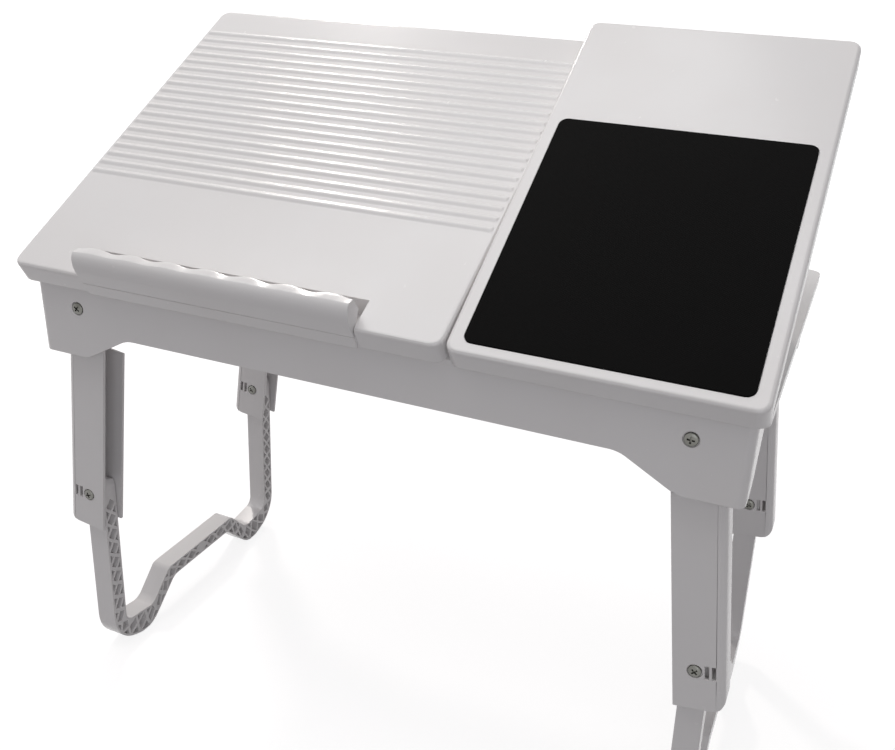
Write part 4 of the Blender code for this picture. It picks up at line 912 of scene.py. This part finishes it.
class Wire:
    """A round wire that grows from its start ring, one run or bend at a time."""

    def __init__(self, start, ahead):
        self.bm = bmesh.new()
        self.place = Vector(start)
        self.ahead = Vector(ahead)
        facing = self.ahead.to_track_quat("Z", "Y").to_matrix()
        made = bmesh.ops.create_circle(
            self.bm, cap_ends=True, segments=WIRE_SIDES, radius=WIRE_RADIUS,
            matrix=Matrix.Translation(self.place) @ facing.to_4x4(),
        )
        self.ring = list({edge for vertex in made["verts"] for edge in vertex.link_edges})

    def run(self, length):
        made = bmesh.ops.extrude_edge_only(self.bm, edges=self.ring)["geom"]
        verts = [item for item in made if isinstance(item, bmesh.types.BMVert)]
        bmesh.ops.translate(self.bm, vec=self.ahead * length, verts=verts)
        self.ring = [item for item in made if isinstance(item, bmesh.types.BMEdge)
                     and all(vertex in verts for vertex in item.verts)]
        self.place += self.ahead * length

    def bend(self, radius, angle):
        """A bend in the flat plane; a positive angle turns left."""
        side = Vector((-self.ahead.y, self.ahead.x, 0)) * (1 if angle > 0 else -1)
        centre = self.place + side * radius
        made = bmesh.ops.spin(
            self.bm, geom=self.ring, cent=centre, axis=(0, 0, 1), angle=angle, steps=BEND_STEPS,
            use_merge=False,
        )["geom_last"]
        self.ring = [item for item in made if isinstance(item, bmesh.types.BMEdge)]
        turn = Matrix.Rotation(angle, 3, "Z")
        self.place = centre + turn @ (self.place - centre)
        self.ahead = turn @ self.ahead

    def close(self):
        bmesh.ops.holes_fill(self.bm, edges=self.ring, sides=0)
        bmesh.ops.remove_doubles(self.bm, verts=self.bm.verts, dist=MERGE)
        bmesh.ops.recalc_face_normals(self.bm, faces=self.bm.faces)
        return self.bm


def make_prop(side):
    node = f"{side}_prop"
    low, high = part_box(node)
    pivot = Vector(JOINTS[f"{side}_prop_swing"]["pos_m"])
    half = (high.x - low.x) / 2 - WIRE_RADIUS
    arm = (high.y - low.y - 2 * WIRE_RADIUS) / math.cos(TILTS[side])
    quarter = math.pi / 2
    wire = Wire((CLIP_END - half, 0, 0), (-1, 0, 0))
    wire.run(CLIP_END - CLIP_BEND)
    wire.bend(CLIP_BEND, -quarter)
    wire.run(arm - CLIP_BEND - FOOT_BEND)
    wire.bend(FOOT_BEND, -quarter)
    wire.run(2 * (half - FOOT_BEND))
    wire.bend(FOOT_BEND, -quarter)
    wire.run(arm - CLIP_BEND - FOOT_BEND)
    wire.bend(CLIP_BEND, -quarter)
    wire.run(CLIP_END - CLIP_BEND)
    bm = wire.close()
    swing = Matrix.Rotation(-TILTS[side], 4, "X")
    place = Matrix.Translation(((low.x + high.x) / 2, pivot.y, pivot.z)) @ swing
    bmesh.ops.transform(bm, matrix=place, verts=bm.verts)
    piece = finished_piece(node + "_wire", bm, DRAWN_WIRE, BODY_OF[node], "zinc_wire", node)
    print(piece.name, "is", round(2 * half / MM), "mm wide with arms of", round(arm / MM), "mm")


for side in ("left", "right"):
    make_prop(side)

# %% [markdown]
# ## Axles and pins
# The long axles, the hinge pins and the stop's pins are plain rods whose CAD shape is already
# right, so these nodes stay and only their material changes.

# %% Steel on the rods
RODS = [node for node in NODES if node.endswith(("_axle", "_pin"))]
for node in RODS:
    mesh = NODES[node].data
    mesh.materials.clear()
    mesh.materials.append(PLATED_STEEL)
print("Rods kept from the frame:", len(RODS))

# %% [markdown]
# ## Floor, world and lamps
# The photograph is cut out on white, so the floor is pale and shows as white except in the
# object's own soft shadow. More light would bleach the white plastic, so the floor adds its
# own brightness only for the camera and for reflections, and more of it far away, where the
# lamps don't reach. A large soft lamp hangs above, a little in front and to the left, where
# the boards don't mirror it into the camera. A small one behind draws the highlights on the
# ridges, a warm lamp stands at the left and a cool one in front at the right.

# %% Floor and world
FLOOR_SIZE = 30.0
FLOOR_ROUGHNESS = 0.9
FLOOR_TINTS = (0.33, 0.32, 0.325, 1), (0.35, 0.34, 0.345, 1)
FLOOR_GLOW_NEAR = 0.82
FLOOR_GLOW_FAR = 0.97
FLOOR_NEAR = 0.5
FLOOR_FAR = 1.8
AMBIENT_TINT = (1.0, 0.97, 0.99, 1)
AMBIENT_LIGHT = 0.27


def seen_directly(tree):
    """1 for camera, glossy and transmission rays, and 0 for the light that lights things."""
    rays = add_node(tree, "ShaderNodeLightPath")
    seen = combine(tree, "MAXIMUM", rays.outputs["Is Camera Ray"], rays.outputs["Is Glossy Ray"])
    return combine(tree, "MAXIMUM", seen, rays.outputs["Is Transmission Ray"])


def make_floor():
    made, tree, shader, place = start_material("pale_floor")
    cloudy = add_node(tree, "ShaderNodeTexNoise", {"Vector": place, "Scale": 3.0, "Detail": 2.0})
    tint = blend_colors(tree, cloudy.outputs["Fac"], *FLOOR_TINTS)
    tree.links.new(tint, shader.inputs["Base Color"])
    shader.inputs["Roughness"].default_value = FLOOR_ROUGHNESS
    distance = add_node(tree, "ShaderNodeVectorMath", {0: place}, operation="LENGTH")
    brighter = add_node(tree, "ShaderNodeMapRange", {
        "Value": distance.outputs["Value"], "From Min": FLOOR_NEAR, "From Max": FLOOR_FAR,
        "To Min": FLOOR_GLOW_NEAR, "To Max": FLOOR_GLOW_FAR,
    })
    glow = combine(tree, "MULTIPLY", seen_directly(tree), brighter.outputs["Result"])
    tree.links.new(glow, shader.inputs["Emission Strength"])
    shader.inputs["Emission Color"].default_value = (1, 1, 1, 1)
    bm = bmesh.new()
    bmesh.ops.create_grid(bm, x_segments=1, y_segments=1, size=FLOOR_SIZE / 2)
    mesh = bpy.data.meshes.new("studio_floor")
    bm.to_mesh(mesh)
    bm.free()
    mesh.materials.append(made)
    floor = bpy.data.objects.new("studio_floor", mesh)
    bpy.context.scene.collection.objects.link(floor)


def make_world():
    world = bpy.data.worlds.new("studio_world")
    world.use_nodes = True
    tree = world.node_tree
    shown = tree.nodes["Background"]
    shown.inputs["Color"].default_value = (1, 1, 1, 1)
    ambient = add_node(tree, "ShaderNodeBackground", {"Color": AMBIENT_TINT, "Strength": AMBIENT_LIGHT})
    either = add_node(tree, "ShaderNodeMixShader", {
        0: seen_directly(tree), 1: ambient.outputs[0], 2: shown.outputs[0],
    })
    tree.links.new(either.outputs[0], tree.nodes["World Output"].inputs["Surface"])
    bpy.context.scene.world = world


make_floor()
make_world()


# %% Lamps
def make_lamp(name, place, target, size, power, color):
    """A square soft lamp that faces its target."""
    data = bpy.data.lights.new(name, "AREA")
    data.shape = "SQUARE"
    data.size = size
    data.energy = power
    data.color = color
    lamp = bpy.data.objects.new(name, data)
    bpy.context.scene.collection.objects.link(lamp)
    lamp.location = place
    lamp.rotation_euler = (Vector(target) - Vector(place)).to_track_quat("-Z", "Y").to_euler()


TABLE_MIDDLE = (0, 0, 0.35)
RIDGES_MIDDLE = (-0.1, 0.03, 0.47)
make_lamp(
    "overhead_softbox", (-0.3, -0.2, 1.9), TABLE_MIDDLE, size=1.4, power=12.3, color=(1.0, 1.0, 0.99)
)
make_lamp(
    "ridge_lamp", (-1.14, 1.25, 1.9), RIDGES_MIDDLE, size=0.24, power=13.0, color=(1.0, 0.95, 0.91)
)
make_lamp(
    "warm_fill", (-1.6, -0.7, 0.8), TABLE_MIDDLE, size=1.0, power=0.8, color=(1.0, 0.88, 0.88)
)
make_lamp(
    "cool_fill", (0.8, -1.7, 0.8), TABLE_MIDDLE, size=1.0, power=4.2, color=(0.92, 0.95, 1.0)
)
bpy.context.scene.view_settings.view_transform = "Standard"
